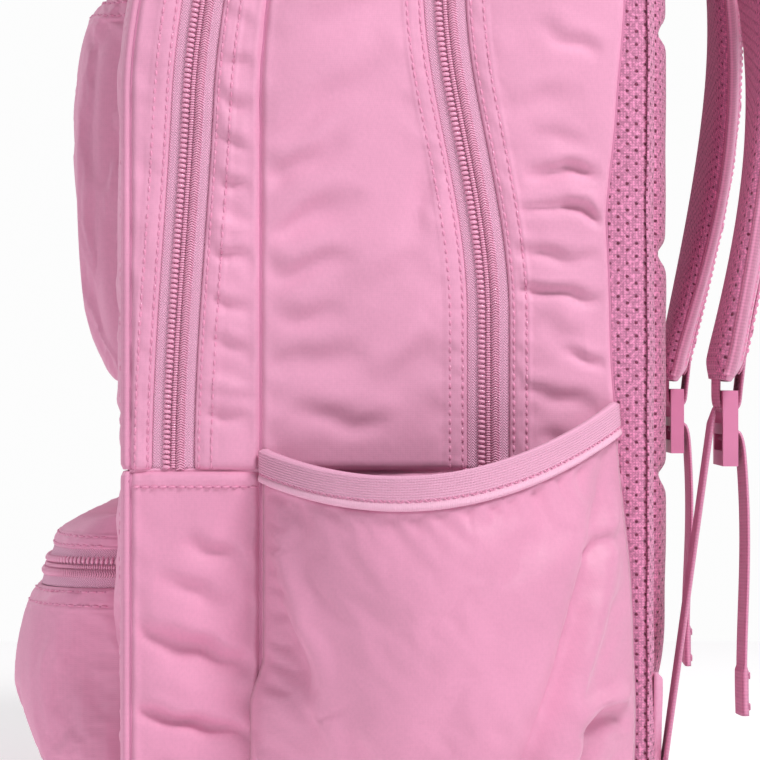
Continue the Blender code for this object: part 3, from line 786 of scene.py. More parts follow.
# drag lines that rise from the gusset seam toward the zip
MAIN_FOLDS = (
    (111, 222, 84, 238, -1.5, 3.4), (111, 206, 80, 219, -1.8, 3.8), (111, 191, 82, 200, -1.6, 3.6),
    (111, 177, 86, 184, -1.3, 3.4), (110, 236, 72, 262, -1.3, 4.6), (110, 262, 60, 292, -1.2, 6.0),
    (108, 284, 64, 308, -1.1, 6.0), (110, 164, 78, 168, -1.2, 4.0), (56, 236, 66, 196, -1.0, 4.0),
    (58, 180, 78, 160, 0.9, 4.0), (54, 212, 84, 192, 0.9, 5.0), (104, 150, 70, 144, -1.1, 4.0),
)


# where the puckers lie, and their depth, between the second zip's stitching and the gusset seam
PUCKERS = (
    (262, -0.8), (249, -0.9), (236, -1.0), (222, -1.1), (209, 0.8), (200, -1.2), (184, -0.9),
    (170, -0.8), (158, 0.7), (147, -0.9), (276, -0.7), (292, -0.7), (310, -0.8),
)


def inner_folds(hollow, z, side):
    rows = [(132, z0 + 5, 113, z0, height, 2.2) for z0, height in PUCKERS]
    return folds(hollow, z + 2 * side, 0.5, rows, 1.9)


# diagonal slack in the lower gusset, under the cross seam
LOWER_FOLDS = (
    (156, 81, 113, 67, -3.4, 3.6), (157, 54, 113, 46, -3.6, 2.6), (150, 66, 120, 58, 1.6, 4.4),
    (146, 96, 118, 88, -1.8, 3.2), (138, 110, 116, 100, -1.7, 3.0), (152, 36, 116, 26, -2.2, 4.0),
)


def creases(lean, rows, left_rise, scale=1.0):
    """A gusset's folds, moved up on the bag's left so that its sides differ."""
    return lambda hollow, z, side: folds(
        hollow, z - np.where(side < 0, left_rise, 0.0), lean, rows, scale
    )


def beside(place, distance):
    """The lines behind and before a line round the bag, at a distance from it."""
    return lambda z: place(z) + distance, lambda z: place(z) - distance


def build_gussets():
    behind_zip, before_zip = beside(main_zip_y, ZIP_HALF)
    behind_second, before_second = beside(second_zip_y, ZIP_HALF)
    inner_seam, outer_seam = beside(seam_y, GAP / 2)
    front_edge, rear_edge = beside(front_y, GAP)[0], beside(back_seam_y, GAP)[1]
    rear_folds = creases(0.45, REAR_FOLDS, 7.0)
    main_folds = creases(0.5, MAIN_FOLDS, -9.0, 1.5)
    lower_folds = creases(0.4, LOWER_FOLDS, 6.0, 1.3)
    rear = Gusset("upper", rear_edge, behind_zip, plain_edge, zip_edge, 1.4, rear_folds)
    rear.build("rear_cloth", "rear_gusset", "bag", stitched="front")
    main = Gusset("upper", before_zip, inner_seam, zip_edge, seam_edge, 3.0, main_folds)
    main.build("main_cloth", "main_gusset", "middle_gusset", stitched="back")
    inner = Gusset("upper", outer_seam, behind_second, seam_edge, zip_edge, 0.9, inner_folds)
    inner.build("inner_cloth", "inner_gusset", "middle_gusset", stitched="front")
    front = Gusset("upper", before_second, front_edge, zip_edge, seam_edge, 0.4)
    front.build("front_gusset_cloth", "front_gusset", "front_gusset", stitched="back")
    base = Gusset("lower", rear_edge, inner_seam, plain_edge, seam_edge, 0.8)
    base.build("base_cloth", "base_gusset", "bag")
    lower = Gusset("lower", outer_seam, front_edge, seam_edge, seam_edge, 1.4, lower_folds)
    lower.build("lower_cloth", "lower_gusset", "bag", materials=[FRONT_CLOTH, LINING])
    for title, gusset in (("base", base), ("lower", lower)):
        for name, side in SIDES:
            cross_stitches(title, gusset, name, side)
    for name, gusset, edge, body in (
        ("gusset_seam", main, "front", "middle_gusset"),
        ("front_seam", front, "front", "front_gusset"),
        ("low_gusset_seam", lower, "back", "bag"),
        ("low_front_seam", lower, "front", "bag"),
        ("back_seam", rear, "back", "bag"),
        ("low_back_seam", base, "back", "bag"),
    ):
        seam_cord(name, gusset, edge, body)
    for name, side in SIDES:
        y = np.linspace(back_seam_y(SPLIT_Z), front_y(SPLIT_Z), 80)
        line_at = joined(side * (HALF_WIDTH - 0.0012), y, SPLIT_Z)
        settle(cord_mesh("cross_seam_" + name, line_at, 0.0009, SIDE_CLOTH), "bag", "shell_fabric")


def build_facings():
    """Cloth behind the second zip's ends and the cross seam, seen where the leaves part."""
    for name, side in SIDES:
        facing("low_facing_" + name, "bag", side, 3.4, (-9, 13), (116, 151))
        facing("zip_facing_" + name, "middle_leaf", side, 2.4, (1, 78), (132, 146))


def facing(name, body, side, inset, heights, depths):
    z = SPLIT_Z + np.linspace(*heights, 40)[:, None] * MM
    share = np.linspace(0, 1, 24)[None, :]
    taper = 12  # millimetres of a facing's top that narrow to a point
    tip = 1 - 0.9 * smooth((z / MM - SPLIT_Z / MM - heights[1] + taper) / taper) ** 3
    middle, half = sum(depths) / 2, (depths[1] - depths[0]) / 2
    depth = middle + half * tip * (2 * share - 1)
    y = y_at(depth * MM, z)
    outer = joined(side * (HALF_WIDTH - inset * MM), y, z)
    inner = outer - np.array([side * 0.6 * MM, 0, 0])
    sewn(name, outer, inner, [FRONT_CLOTH, LINING], outer[..., 1:], body, "shell_fabric")


def seam_cord(name, gusset, edge, body):
    """The folded seam allowance that closes the gap between two sewn cloths; its darker cloth is
    painted shade for the seam line.
    """
    points, normals = gusset.line(edge, 0.0)
    points = points - normals * 0.75 * MM
    cord = cord_mesh(name, points, 0.0011, SEAM_SHADE_CLOTH, up=normals)
    settle(cord, body, "shell_fabric")


def cross_stitches(title, gusset, name, side):
    """A row of stitches under the cross seam, on one side of the bag."""
    points = gusset.surface(np.linspace(0.02, 0.98, 120)[None, :])
    away = np.abs(gusset.path[:, 1] - (SPLIT_Z - CROSS_ROW * MM))
    row = np.argmin(away + (gusset.path[:, 0] * side < 0))
    line_at = points[row] + np.array([side * 0.1 * MM, 0, 0])
    stitches(f"{title}_cross_stitches_{name}_0", line_at, (side, 0.0, 0.0), "bag")


# ---- zips ----
# a loop's parts: points (along, away from the middle, up) and radii, in millimetres
HEAD = (
    ((0, -0.85, 0.15), (0, -0.45, 0.62), (0, 0.35, 0.66), (0, 0.75, 0.2)),
    (0.2, 0.34, 0.36, 0.24),
)
BEAD = (
    ((-0.16, 0.95, 0.35), (-0.06, 1.4, 0.92), (0.04, 2.2, 1.02),
     (0.16, 3.0, 0.82), (0.22, 3.4, 0.2)),
    (0.30, 0.55, 0.62, 0.54, 0.26),
)
BARB = (
    ((0.62, 0.90, 0.50), (0.30, 1.5, 1.05), (-0.12, 2.3, 1.15),
     (0.30, 3.1, 0.85), (0.62, 3.6, 0.2)),
    (0.22, 0.28, 0.30, 0.27, 0.18),
)


def coil_piece(name, points, normals, side, body, barbed):
    """One half of a zip's coil: a head past the middle for each loop, and the loop's back."""
    leg, every = (BARB, COIL_PITCH / 2) if barbed else (BEAD, COIL_PITCH)
    for part, (path, radii), pitch in (("heads", HEAD, COIL_PITCH), ("loops", leg, every)):
        path = [(a * side, w * side, h) for a, w, h in path]
        template = capsule_rings(path, radii, (1, 0, 0), (0, 0, 1))
        offset = 0.5 if side > 0 and part == "heads" else 0.0
        frames = frames_on(points, normals, pitch * MM, offset)
        settle(repeat_along(f"{name}_{part}", template, frames, COIL), body, "zip_tape")


TAPE_HALF, TAPE_UNDER = 6.75, 0.55  # the tape's width on one side, and its depth, in millimetres


def tape_piece(name, points, normals, side, body, node):
    """The woven tape on one side of a zip's middle, a little below the cloth."""
    S = np.cross(normals, tangents(points))
    w = np.array([0.15, 0.6, 1.2, 2.0, 2.8, 3.3, 3.8, 4.8, 5.8, TAPE_HALF])
    cord = 0.45 * bell(w - 2.9, 0.8) - TAPE_UNDER
    outer = points[:, None] + side * S[:, None] * w[None, :, None] * MM
    inner = outer + normals[:, None] * (cord - 0.6)[None, :, None] * MM
    outer = outer + normals[:, None] * cord[None, :, None] * MM
    uv = joined(lengths(points)[:, None], w[None, :] * MM)
    sewn(name, outer, inner, [TAPE], uv, body, "zip_tape", node)


def long_zip_line(place):
    x, z, a, b = outline("upper").T
    return joined(x, place(z), z), joined(a, 0 * a, b)


def build_long_zips():
    for zip_name, place, bodies in (
        ("main_zip", main_zip_y, ("bag", "middle_gusset")),
        ("second_zip", second_zip_y, ("middle_gusset", "front_gusset")),
    ):
        points, normals = long_zip_line(place)
        middle = points - normals * 0.5 * MM
        # the outline runs so that its left-hand side is the front
        for half, side, body in (("rear", -1, bodies[0]), ("front", 1, bodies[1])):
            title = f"{zip_name}_{half}"
            tape_piece(title + "_tape", points, normals, side, body, title + "_half")
            coil_piece(title + "_coil", middle, normals, side, body, half == "rear")


# ---- side pockets ----
def rim_z(u):
    """The rim's height: 138 mm at the gusset seam, 153 mm at the back seam, lower between."""
    return 0.138 - 0.04165 * u + 0.05665 * u * u


DRAWN_FOLDS = (
    (1, 122, 30, 30, 4.6, 4.6, 0.8), (6, 84, 44, 22, -2.6, 4.6, 0.5),
    (66, 4, 111, 142, -4.2, 3.4, 0.9), (100, 128, 58, 26, 2.4, 8.0, 0.2),
)
LOOSE_FOLDS = (
    (112, 98, 96, 66, -1.4, 3.4, 0.5), (80, 20, 96, 60, 3.4, 3.4, 0.9),
    (89, 56, 118, 62, 3.8, 3.2, 0.9), (96, 10, 108, 46, -3.0, 4.6, 0.3),
    (-2, 60, 13, 14, 3.6, 3.6, 0.9), (24, 58, 64, 10, 1.8, 6.0, 0.6),
    (112, 113, 97, 105, -2.0, 1.9, 0.5), (46, 84, 58, 30, -1.2, 8.0, 0.4),
    (14, 112, 54, 88, 0.9, 6.0, 0.4),
)
LOOSE_FOLDS += tuple(
    (-1, 124 - 7.5 * i, 8 + i % 3, 121 - 7.5 * i, -0.9, 1.5, 0.5) for i in range(9)
)
GATHERS = (
    (40, 0.7, 9), (54, 0.6, 8), (63, 0.7, 9), (70, 1.1, 12), (76, 1.0, 13), (84, 1.5, 18),
    (91, 1.3, 18), (97, 1.1, 13), (22, 0.6, 10), (30, 0.5, 8), (10, 0.5, 9), (47, 0.5, 8),
)


def pocket_folds(u, z):
    """Drag lines from both upper corners, gathers under the elastic, slack at the floor."""
    total = sum(folds(u * POCKET_WIDTH, z, row[6], (row,)) for row in DRAWN_FOLDS)
    w, z = wandered(u * POCKET_WIDTH, z, 1.2)
    total = total + sum(folds(w, z, row[6], (row,)) for row in LOOSE_FOLDS)
    below = (rim_z(u) / MM - BINDING / MM) - z
    for place, depth, reach in GATHERS:
        window = smooth(below / 1.5) * (1 - smooth((below - 1) / reach))
        total = total - 1.35 * depth * bell(w - place - 0.18 * below, 1.7) * window
    return total


def side_x(z):
    """How far the bag's side is from its middle at a height."""
    drop = np.clip(BASE_RADIUS - z, 0, BASE_RADIUS)
    return HALF_WIDTH - BASE_RADIUS + np.sqrt(BASE_RADIUS**2 - drop**2)


class SidePocket:
    """A bottle pocket: u runs from the gusset seam to the back seam, t from floor to rim."""

    def __init__(self, side):
        self.side = side

    def plain(self, u, z):
        share = (z - POCKET_FLOOR_Z) / (rim_z(u) - POCKET_FLOOR_Z)
        rise = np.sin(np.clip(share / 0.42, 0, 1) * math.pi / 2) ** 0.8
        pinch = 1 - 0.10 * smooth((share - 0.6) / 0.4)
        reach = POCKET_REACH * np.sin(math.pi * np.clip(u, 0, 1)) ** 0.7 * rise * pinch
        rear, fore = back_seam_y(z) - 0.0004, BACK_Y - SEAM_DEPTH + 0.0008
        swell = 0.0042 * smooth((0.072 - z) / 0.016) * (1 - u) ** 4
        y = rear + (fore - rear) * (1 - u) - swell
        x = side_x(z) + GAP + 0.0008 + reach
        return joined(self.side * x, y, z)

    def surface(self, u, z, relief):
        points = self.plain(u, z)
        normals = normals_of(points)
        return points + normals * relief[..., None] * MM * self.outward(normals), normals

    def outward(self, normals):
        return np.sign(normals[..., 0:1] * self.side + 1e-9)

    def off_bag(self, points):
        wall = side_x(points[..., 2]) + 0.2 * MM
        points[..., 0] = self.side * np.maximum(self.side * points[..., 0], wall)
        return points

    def cloth(self, name):
        """Cut a little wide, so that it slackens between its seams and the elastic."""
        u = np.linspace(0, 1, 120)[:, None]
        t = np.linspace(0, 1, 110)[None, :] ** 1.15
        top = rim_z(u) - BINDING
        z = POCKET_FLOOR_Z + t * (top - POCKET_FLOOR_Z)
        edge = smooth(u / 0.06) * smooth((1 - u) / 0.06) * smooth(t / 0.05)
        under = smooth((1 - t) / 0.02)
        relief = pocket_folds(u, z / MM) * edge * under
        relief = relief + 0.5 * ripple(u * POCKET_WIDTH, z / MM, 30, 11) * edge * under
        relief = relief + 0.22 * ripple(u * POCKET_WIDTH, z / MM, 9, 12) * edge * under
        outer, normals = self.surface(u, z, relief)
        if self.side < 0:
            outer = SidePocket.right_cloth * np.array([-1, 1, 1])
        else:
            outer = SidePocket.right_cloth = relax(outer, 0.010, 2.2)
        normals = eased(normals_of(outer))
        normals = normals * self.outward(normals)
        inner = self.off_bag(outer - normals * 0.6 * CLOTH * MM)
        uv = joined(u * 0.16, z)
        home = ("bag", "shell_fabric", "side_pocket_" + name)
        sewn("pocket_cloth_" + name, outer, inner, [POCKET_CLOTH, LINING], uv, *home)

    def binding(self, name):
        """Ribbed elastic folded over the rim, a zigzag row through it, and a plump lip."""
        u = np.linspace(0, 1, 260)[:, None]
        d = np.linspace(0, BINDING / MM, 84)[None, :]
        z = rim_z(u) - d * MM
        s = u * 150
        ribbed = smooth(d / 0.8) * (1 - smooth((d - 7.0) / 0.5))
        ribs = 0.10 * np.cos(2 * math.pi * d / 0.8) * ribbed
        seam = -0.45 * bell(d - 8.1, 0.45)
        beads = 0.12 * np.cos(2 * math.pi * s / 1.9) * bell(d - 10.4, 0.7)
        lip = 0.22 * bell(d - 9.6, 0.9) + beads
        rolled = -1.2 * bell(d, 0.5) - 0.9 * bell(d - BINDING / MM, 0.35)
        relief = 1.5 + ribs + seam + lip + rolled + 0.10 * ripple(s, d, 12, 4)
        outer, normals = self.surface(u, z, relief)
        normals = normals * self.outward(normals)
        inner = self.off_bag(outer - normals * (relief[..., None] + CLOTH + 0.2) * MM)
        uv = joined(u * 0.15, d * MM)
        piece = sheet_piece(f"pocket_elastic_{name}", outer, inner, [ELASTIC, LIP], uv)
        paint_rows(piece, outer.shape[:2], d[0] > LIP_FROM)
        settle(piece, "bag", "elastic", f"pocket_binding_{name}")
        row = np.argmin(np.abs(d[0] - ZIGZAG_ROW))
        self.zigzag(f"pocket_zigzag_{name}", outer[:, row], normals[:, row])

    def zigzag(self, name, points, normals):
        path = [(-0.7, -0.6, -0.1), (0, 0, 0.25), (0.7, 0.6, -0.1)]
        template = capsule_rings(path, (0.17, 0.24, 0.17), (0.65, -0.75, 0), (0, 0, 1))
        mirrored = template * np.array([1, -1, 1])
        for part, shape, offset in (("a", template, 0.0), ("b", mirrored, 0.5)):
            frames = frames_on(points, normals, STITCH * MM, offset)
            settle(repeat_along(f"{name}_{part}", shape, frames, THREAD), "bag", "elastic")


def paint_rows(piece, shape, chosen):
    """Gives the outer faces of some columns of a sheet its second material."""
    rows, cols = shape
    count = (rows - 1) * (cols - 1)
    slots = np.zeros(len(piece.data.polygons), np.int32)
    piece.data.polygons.foreach_get("material_index", slots)
    slots[: 2 * count] = np.tile(chosen[:-1], 2 * (rows - 1)).astype(np.int32)
    piece.data.polygons.foreach_set("material_index", slots)


def build_side_pockets():
    for name, side in SIDES:
        pocket = SidePocket(side)
        pocket.cloth(name)
        pocket.binding(name)


# ---- front and back ----
PANEL_ENDS = {"upper": (TOP_Z,), "lower": (0.0,), "whole": (0.0, TOP_Z)}


def panel_grid(part, inset=0.0, across=90):
    """An upright panel's x and z, rows up it and columns across, and millimetres from an edge."""
    half = half_outline(part)
    width = np.maximum(half[:, 0] - inset, 0.0004)
    keep = np.concatenate([[True], np.diff(half[:, 1]) > 1e-6])
    width, z = width[keep], half[keep, 1] - inset * half[keep, 3]
    share = span(across)
    x = width[:, None] * share[None, :]
    z, near = np.broadcast_to(z[:, None], x.shape), width[:, None] - np.abs(x)
    for end in PANEL_ENDS[part]:
        near = np.minimum(near, np.abs(end - z))
    return x, z, near / MM


PANEL_FOLDS = (
    (-146, 246, -94, 212, -2.2, 4.5), (146, 262, 96, 226, -2.4, 4.5),
    (-144, 176, -98, 160, -1.7, 4.0), (146, 190, 98, 172, -1.8, 4.2),
    (-120, 352, -78, 306, -2.0, 6.0), (118, 356, 76, 304, -1.8, 6.0),
    (-64, 392, -22, 352, -1.3, 7.0), (70, 388, 22, 344, 1.3, 7.0), (-142, 222, -98, 236, 1.2, 4.0),
    (-60, 142, 40, 150, -1.3, 4.0), (142, 148, 92, 146, -1.5, 3.6),
    (-146, 140, -108, 148, -1.2, 3.4),
)
LOW_PANEL_FOLDS = (
    (-146, 96, -120, 74, -2.0, 4.0), (146, 90, 120, 66, -2.2, 4.0),
    (-144, 52, -122, 40, -1.6, 3.6), (145, 112, 118, 104, -1.4, 3.6),
    (-90, 122, -30, 116, -1.0, 4.0), (40, 114, 100, 121, -1.0, 4.0),
)


def panel_relief(x, z, near, part):
    """Height of a front panel's cloth in millimetres; near is the distance from its edge."""
    u, v = x / MM, z / MM
    split = np.abs(z - SPLIT_Z) / MM
    relief = 2.2 * smooth(near / 22) * smooth(split / 10) - 0.9 * bell(near, 1.0)
    relief = relief + 0.7 * ripple(u, v, 62, 21) * smooth(near / 12)
    relief = relief - 0.35 * bell(near - PANEL_ROW, 0.8) - 0.8 * bell(split, 1.0)
    relief = relief + 0.55 * ripple(u, v, 11, 22) * bell(near - 9.0, 5.0)
    marks = PANEL_FOLDS if part == "upper" else LOW_PANEL_FOLDS
    u, v = wandered(u, v, 2.5)
    return relief + folds(u, v, 0.5, marks) * smooth(near / 5)


def build_front_panels():
    for name, node, part, body in (
        ("front_cloth_upper", "front_panel", "upper", "front_leaf"),
        ("front_cloth_lower", "lower_front_panel", "lower", "bag"),
    ):
        x, z, near = panel_grid(part, across=180)
        relief = panel_relief(x, z, near, part) + PANEL / MM
        outer, inner = joined(x, front_y(z) - relief * MM, z), joined(x, front_y(z), z)
        home = (body, "shell_fabric", node)
        sewn(name, outer, inner, [FRONT_CLOTH, LINING], joined(x, z), *home)
        x, z, a, b = outline(part).T
        x, z = x - PANEL_ROW * MM * a, z - PANEL_ROW * MM * b
        y = front_y(z) - PANEL - panel_relief(x, z, PANEL_ROW + 0 * x, part) * MM
        stitches(f"{name}_stitches", joined(x, y, z)[5:-5], (0.0, -1.0, 0.0), body)


def build_back():
    """The mesh back: its rolled edge, its face, and two padded, channelled pads."""
    rim = FACE_Y - 0.0022
    edge = Gusset("whole", lambda z: rim + 0 * z, back_seam_y, soft_edge, tucked_edge, 0.3)
    edge.path = np.concatenate([edge.path, edge.path[:1]])
    edge.along = np.concatenate([edge.along, [edge.along[-1] + ARC_SPACING]])
    edge.build("back_edge_mesh", "back_panel", "bag", "air_mesh", [MESH_BAND])
    x, z, near = panel_grid("whole", 0.3 * MM)
    rise = smooth(near / 9)
    face = FACE_Y - 2.5 * MM + (2.4 * rise + 0.3 * ripple(x / MM, z / MM, 50, 31)) * MM
    outer, inner = joined(x, face, z), joined(x, face - 0.0006, z)
    sewn("back_face_mesh", outer, inner, [MESH], joined(x, z), "bag", "air_mesh")
    for name, _ in SIDES:
        build_back_pad(name)


def build_back_pad(name):
    """A crowned pad with three channels across it."""
    lo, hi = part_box("back_pad_" + name)
    centre, half_x, half_z = (lo + hi) / 2, (hi.x - lo.x) / 2, (hi.z - lo.z) / 2
    a = np.linspace(-1, 1, 70)[:, None]
    b = np.linspace(-1, 1, 190)[None, :]
    round_x = half_x * (1 - 0.10 * b**6)
    x = centre.x + a * round_x + 0 * b
    z = centre.z + b * half_z * (1 - 0.05 * a**4)
    crown = (1 - np.abs(a) ** 5) ** 0.6 * (1 - np.abs(b) ** 14) ** 0.6
    channels = sum(bell((b - c) * half_z / MM, 3.2) for c in (-0.5, 0.0, 0.5))
    height = (hi.y - lo.y + 0.9 * MM) * crown * (1 - 0.45 * channels * (1 - np.abs(a) ** 8))
    height = height + 0.25 * MM * ripple(x / MM, z / MM, 26, 17) * crown
    outer, inner = joined(x, lo.y + height, z), joined(x, lo.y - 0.1 * MM, z)
    home = ("bag", "air_mesh", "back_pad_" + name)
    pad = sewn("padded_panel_" + name, outer, inner, [MESH], joined(x, z), *home)


# ---- front pockets ----
class FrontPocket:
    """A gathered pouch on the front: s runs across it from -1 to 1, t up it from 0 to 1."""

    zip_place = 0.73

    def __init__(self, name, body, reach, crown, height, marks):
        self.name, self.body, self.reach = name, body, reach
        self.crown, self.height, self.marks = crown, height, marks
        self.half_width = high(name).x
        self.low, self.high = low(name).z, high(name + "_flap").z
        column = self.plain(np.zeros((201, 1)), np.linspace(0, 1, 201)[:, None])
        slope = np.gradient(column, axis=0)
        at_zip = round(self.zip_place * 200)
        self.speed = float(np.linalg.norm(slope[at_zip, 0])) * 200  # metres per t

    def plain(self, s, t):
        z = self.low + (self.high - self.low) * (1 - np.cos(math.pi * t)) / 2
        depth = self.reach * np.maximum(0, np.sin(math.pi * t)) ** 0.55
        depth = depth * np.sqrt(np.maximum(0, 1 - s**10))
        y = front_y(z) - PANEL - GAP - 0.0008 - depth
        return joined(s * self.half_width, y, z)

    def raised(self, points, relief):
        normals = normals_of(points)
        middle = normals[normals.shape[0] // 2, normals.shape[1] // 2]
        normals = normals * (-1 if middle[1] > 0 else 1)
        return points + normals * relief[..., None] * MM, normals

    def off_panel(self, points):
        points[..., 1] = np.minimum(points[..., 1], front_y(points[..., 2]) - PANEL - GAP)
        return points

    def cloth(self, title, t, zip_at, far_end, slack, seed):
        """The cloth on one side of the zip, with a folded, stitched edge along it."""
        s = span(190)[:, None]
        t = t[None, :]
        to_zip = np.abs(t - zip_at) * self.speed / MM
        to_end = np.abs(t - far_end) * self.speed / MM
        to_side = (1 - np.abs(s)) * self.half_width / MM * 2.5
        along = s * self.half_width / MM
        inside = smooth(to_side / 16) * smooth(to_end / 14)
        relief = zip_edge(to_zip, along) - 0.9 * bell(to_end, 1.2)
        relief = relief + 0.5 * ripple(along, t * 90, 36, seed)
        slack_folds = folds(along, t * self.height, 0.5, self.marks)
        crowned = self.crown * np.sin(math.pi * t) + slack_folds
        relief = relief + inside * smooth(to_zip / 9) * crowned
        points, normals = self.raised(self.plain(s, t), relief * np.ones_like(to_side))
        if slack:
            points = relax(points, slack, 2.5)
        outer = self.off_panel(points)
        inner = self.off_panel(outer - normals * CLOTH * MM)
        uv = joined(s * self.half_width, t * self.speed)
        home = (self.body, "shell_fabric", title)
        sewn(title, outer, inner, [FRONT_CLOTH, LINING], uv, *home)
        for number, distance in enumerate(EDGE_ROWS):
            row = np.argmin(np.abs(to_zip[0] - distance))
            at_row, normal = outer[4:-4, row], normals[4:-4, row]
            stitches(f"{title}_stitches_{number}", at_row, normal, self.body)

    def build(self):
        half = ZIP_HALF / self.speed
        low_edge, high_edge = self.zip_place - half, self.zip_place + half
        near = np.arange(0, 8.6, 0.45) * MM / self.speed
        below = np.linspace(0, 1, 70)[:-1] * (low_edge - near[-1])
        pouch = np.concatenate([below, low_edge - near[::-1]])
        room = 1 - high_edge
        above = np.linspace(0.6, 1, 12) * room
        flap = high_edge + np.concatenate([near[near < room * 0.6], above])
        self.cloth(self.name, pouch, low_edge, 0.0, 0.022, 41)
        self.cloth(self.name + "_flap", flap, high_edge, 1.0, 0.0, 43)
        s = span(400)[:, None]
        band = self.plain(s, self.zip_place + np.linspace(-0.01, 0.01, 3)[None, :])
        _, normals = self.raised(band, np.zeros(band.shape[:2]))
        points, normals = band[:, 1], normals[:, 1]
        middle = points - normals * 0.5 * MM
        for half_name, side in (("lower", 1), ("upper", -1)):
            title = f"{self.name}_{half_name}"
            tape_piece(title + "_tape", points, normals, side, self.body, self.name + "_zip")
            coil_piece(title + "_coil", middle, normals, side, self.body, side < 0)


LOWER_POUCH_FOLDS = (
    (-100, 66, -62, 20, 1.8, 5.0), (102, 64, 70, 16, 1.9, 5.0), (-30, 16, 26, 24, -1.4, 6.0),
    (-88, 30, -60, 60, -1.2, 6.0), (84, 34, 52, 62, -1.3, 6.0), (-14, 60, 20, 52, 0.9, 8.0),
)
UPPER_POUCH_FOLDS = (
    (-88, 100, -60, 52, 1.2, 5.0), (88, 104, 58, 60, 1.3, 5.0), (-52, 20, -8, 34, 1.0, 6.0),
    (18, 26, 60, 16, -1.0, 6.0), (-20, 96, 34, 84, -0.8, 8.0),
)


def build_front_pockets():
    FrontPocket("lower_pocket", "bag", 0.034, 2.2, 100, LOWER_POUCH_FOLDS).build()
    FrontPocket("upper_pocket", "front_leaf", 0.016, 1.6, 160, UPPER_POUCH_FOLDS).build()


# ---- webbing, straps and patches ----
WEB_WIDTH, WEB_THICK = 0.0245, 0.0015
STRAP_TOP_Z, STRAP_DROP = 0.388, 0.228
OUTWARD = (0, 1, 0)  # from the wearer's side of a strap


def strip(name, centres, outwards, width, thick, materials, crown, puff=0.0):
    """A band of cloth along a path, its outer points and their normals.

    Width and thickness may change along it.
    """
    P = np.asarray(centres, float)
    T = tangents(P)
    S = unit(np.cross(np.broadcast_to(np.asarray(outwards, float), P.shape), T))
    N = np.cross(T, S)
    a = span(31)[None, :]
    wide = np.broadcast_to(width, len(P))[:, None]
    deep = np.broadcast_to(thick, len(P))[:, None]
    edge = np.maximum(0.10, (1 - np.abs(a) ** crown) ** 0.5)
    along = lengths(P)[:, None]
    swell = puff * MM * ripple(along / MM, a * wide / 2 / MM, 24, 51) * (1 - np.abs(a) ** 4)
    top, bottom = deep / 2 * edge + swell, deep / 2 * edge
    middle = P[:, None] + S[:, None] * (a * wide / 2)[..., None]
    outer, inner = middle + N[:, None] * top[..., None], middle - N[:, None] * bottom[..., None]
    uv = joined(along, a * wide / 2)
    return sheet_piece(name, outer, inner, materials, uv), outer, N


def resampled(points, count):
    points = np.asarray(points, float)
    along = lengths(points)
    marks = np.linspace(0, along[-1], count)
    return np.stack([np.interp(marks, along, points[:, i]) for i in range(3)], -1)


def rounded_path(points, count, passes):
    """An evenly spaced path through points, with its corners eased."""
    path = resampled(points, count)
    for _ in range(passes):
        path[1:-1] = (path[:-2] + 2 * path[1:-1] + path[2:]) / 4
    return path


def cord_mesh(name, points, radius, material, sides=8, up=None):
    """A round piping along a path."""
    P = np.asarray(points, float)
    T = tangents(P)
    if up is None:
        up = (0.0, 0.0, 1.0) if abs(T[:, 2]).mean() < 0.8 else (0.0, 1.0, 0.0)
    S = unit(np.cross(T, up))
    N = np.cross(T, S)
    a = np.arange(sides) * 2 * math.pi / sides
    rings = P[:, None] + radius * (
        S[:, None] * np.cos(a)[None, :, None] + N[:, None] * np.sin(a)[None, :, None]
    )
    verts, faces = tube_mesh(rings)
    uvs = np.stack([np.repeat(lengths(P), sides), np.tile(a * radius, len(P))], -1)
    return linked(name, new_mesh(name, verts, faces, [material], uvs))


def strap_line(side, t):
    """The middle of a shoulder strap, from its root at the yoke (t = 0) to its end."""
    z = STRAP_TOP_Z - STRAP_DROP * t
    x = side * (0.036 + 0.066 * smooth(1.05 * t))
    y = BACK_Y + 0.026 + 0.026 * np.sin(math.pi * t**0.8) + 0.014 * t
    return joined(x, y, z)


def strap_width(t):
    return 0.061 - 0.016 * smooth((t - 0.55) / 0.45)


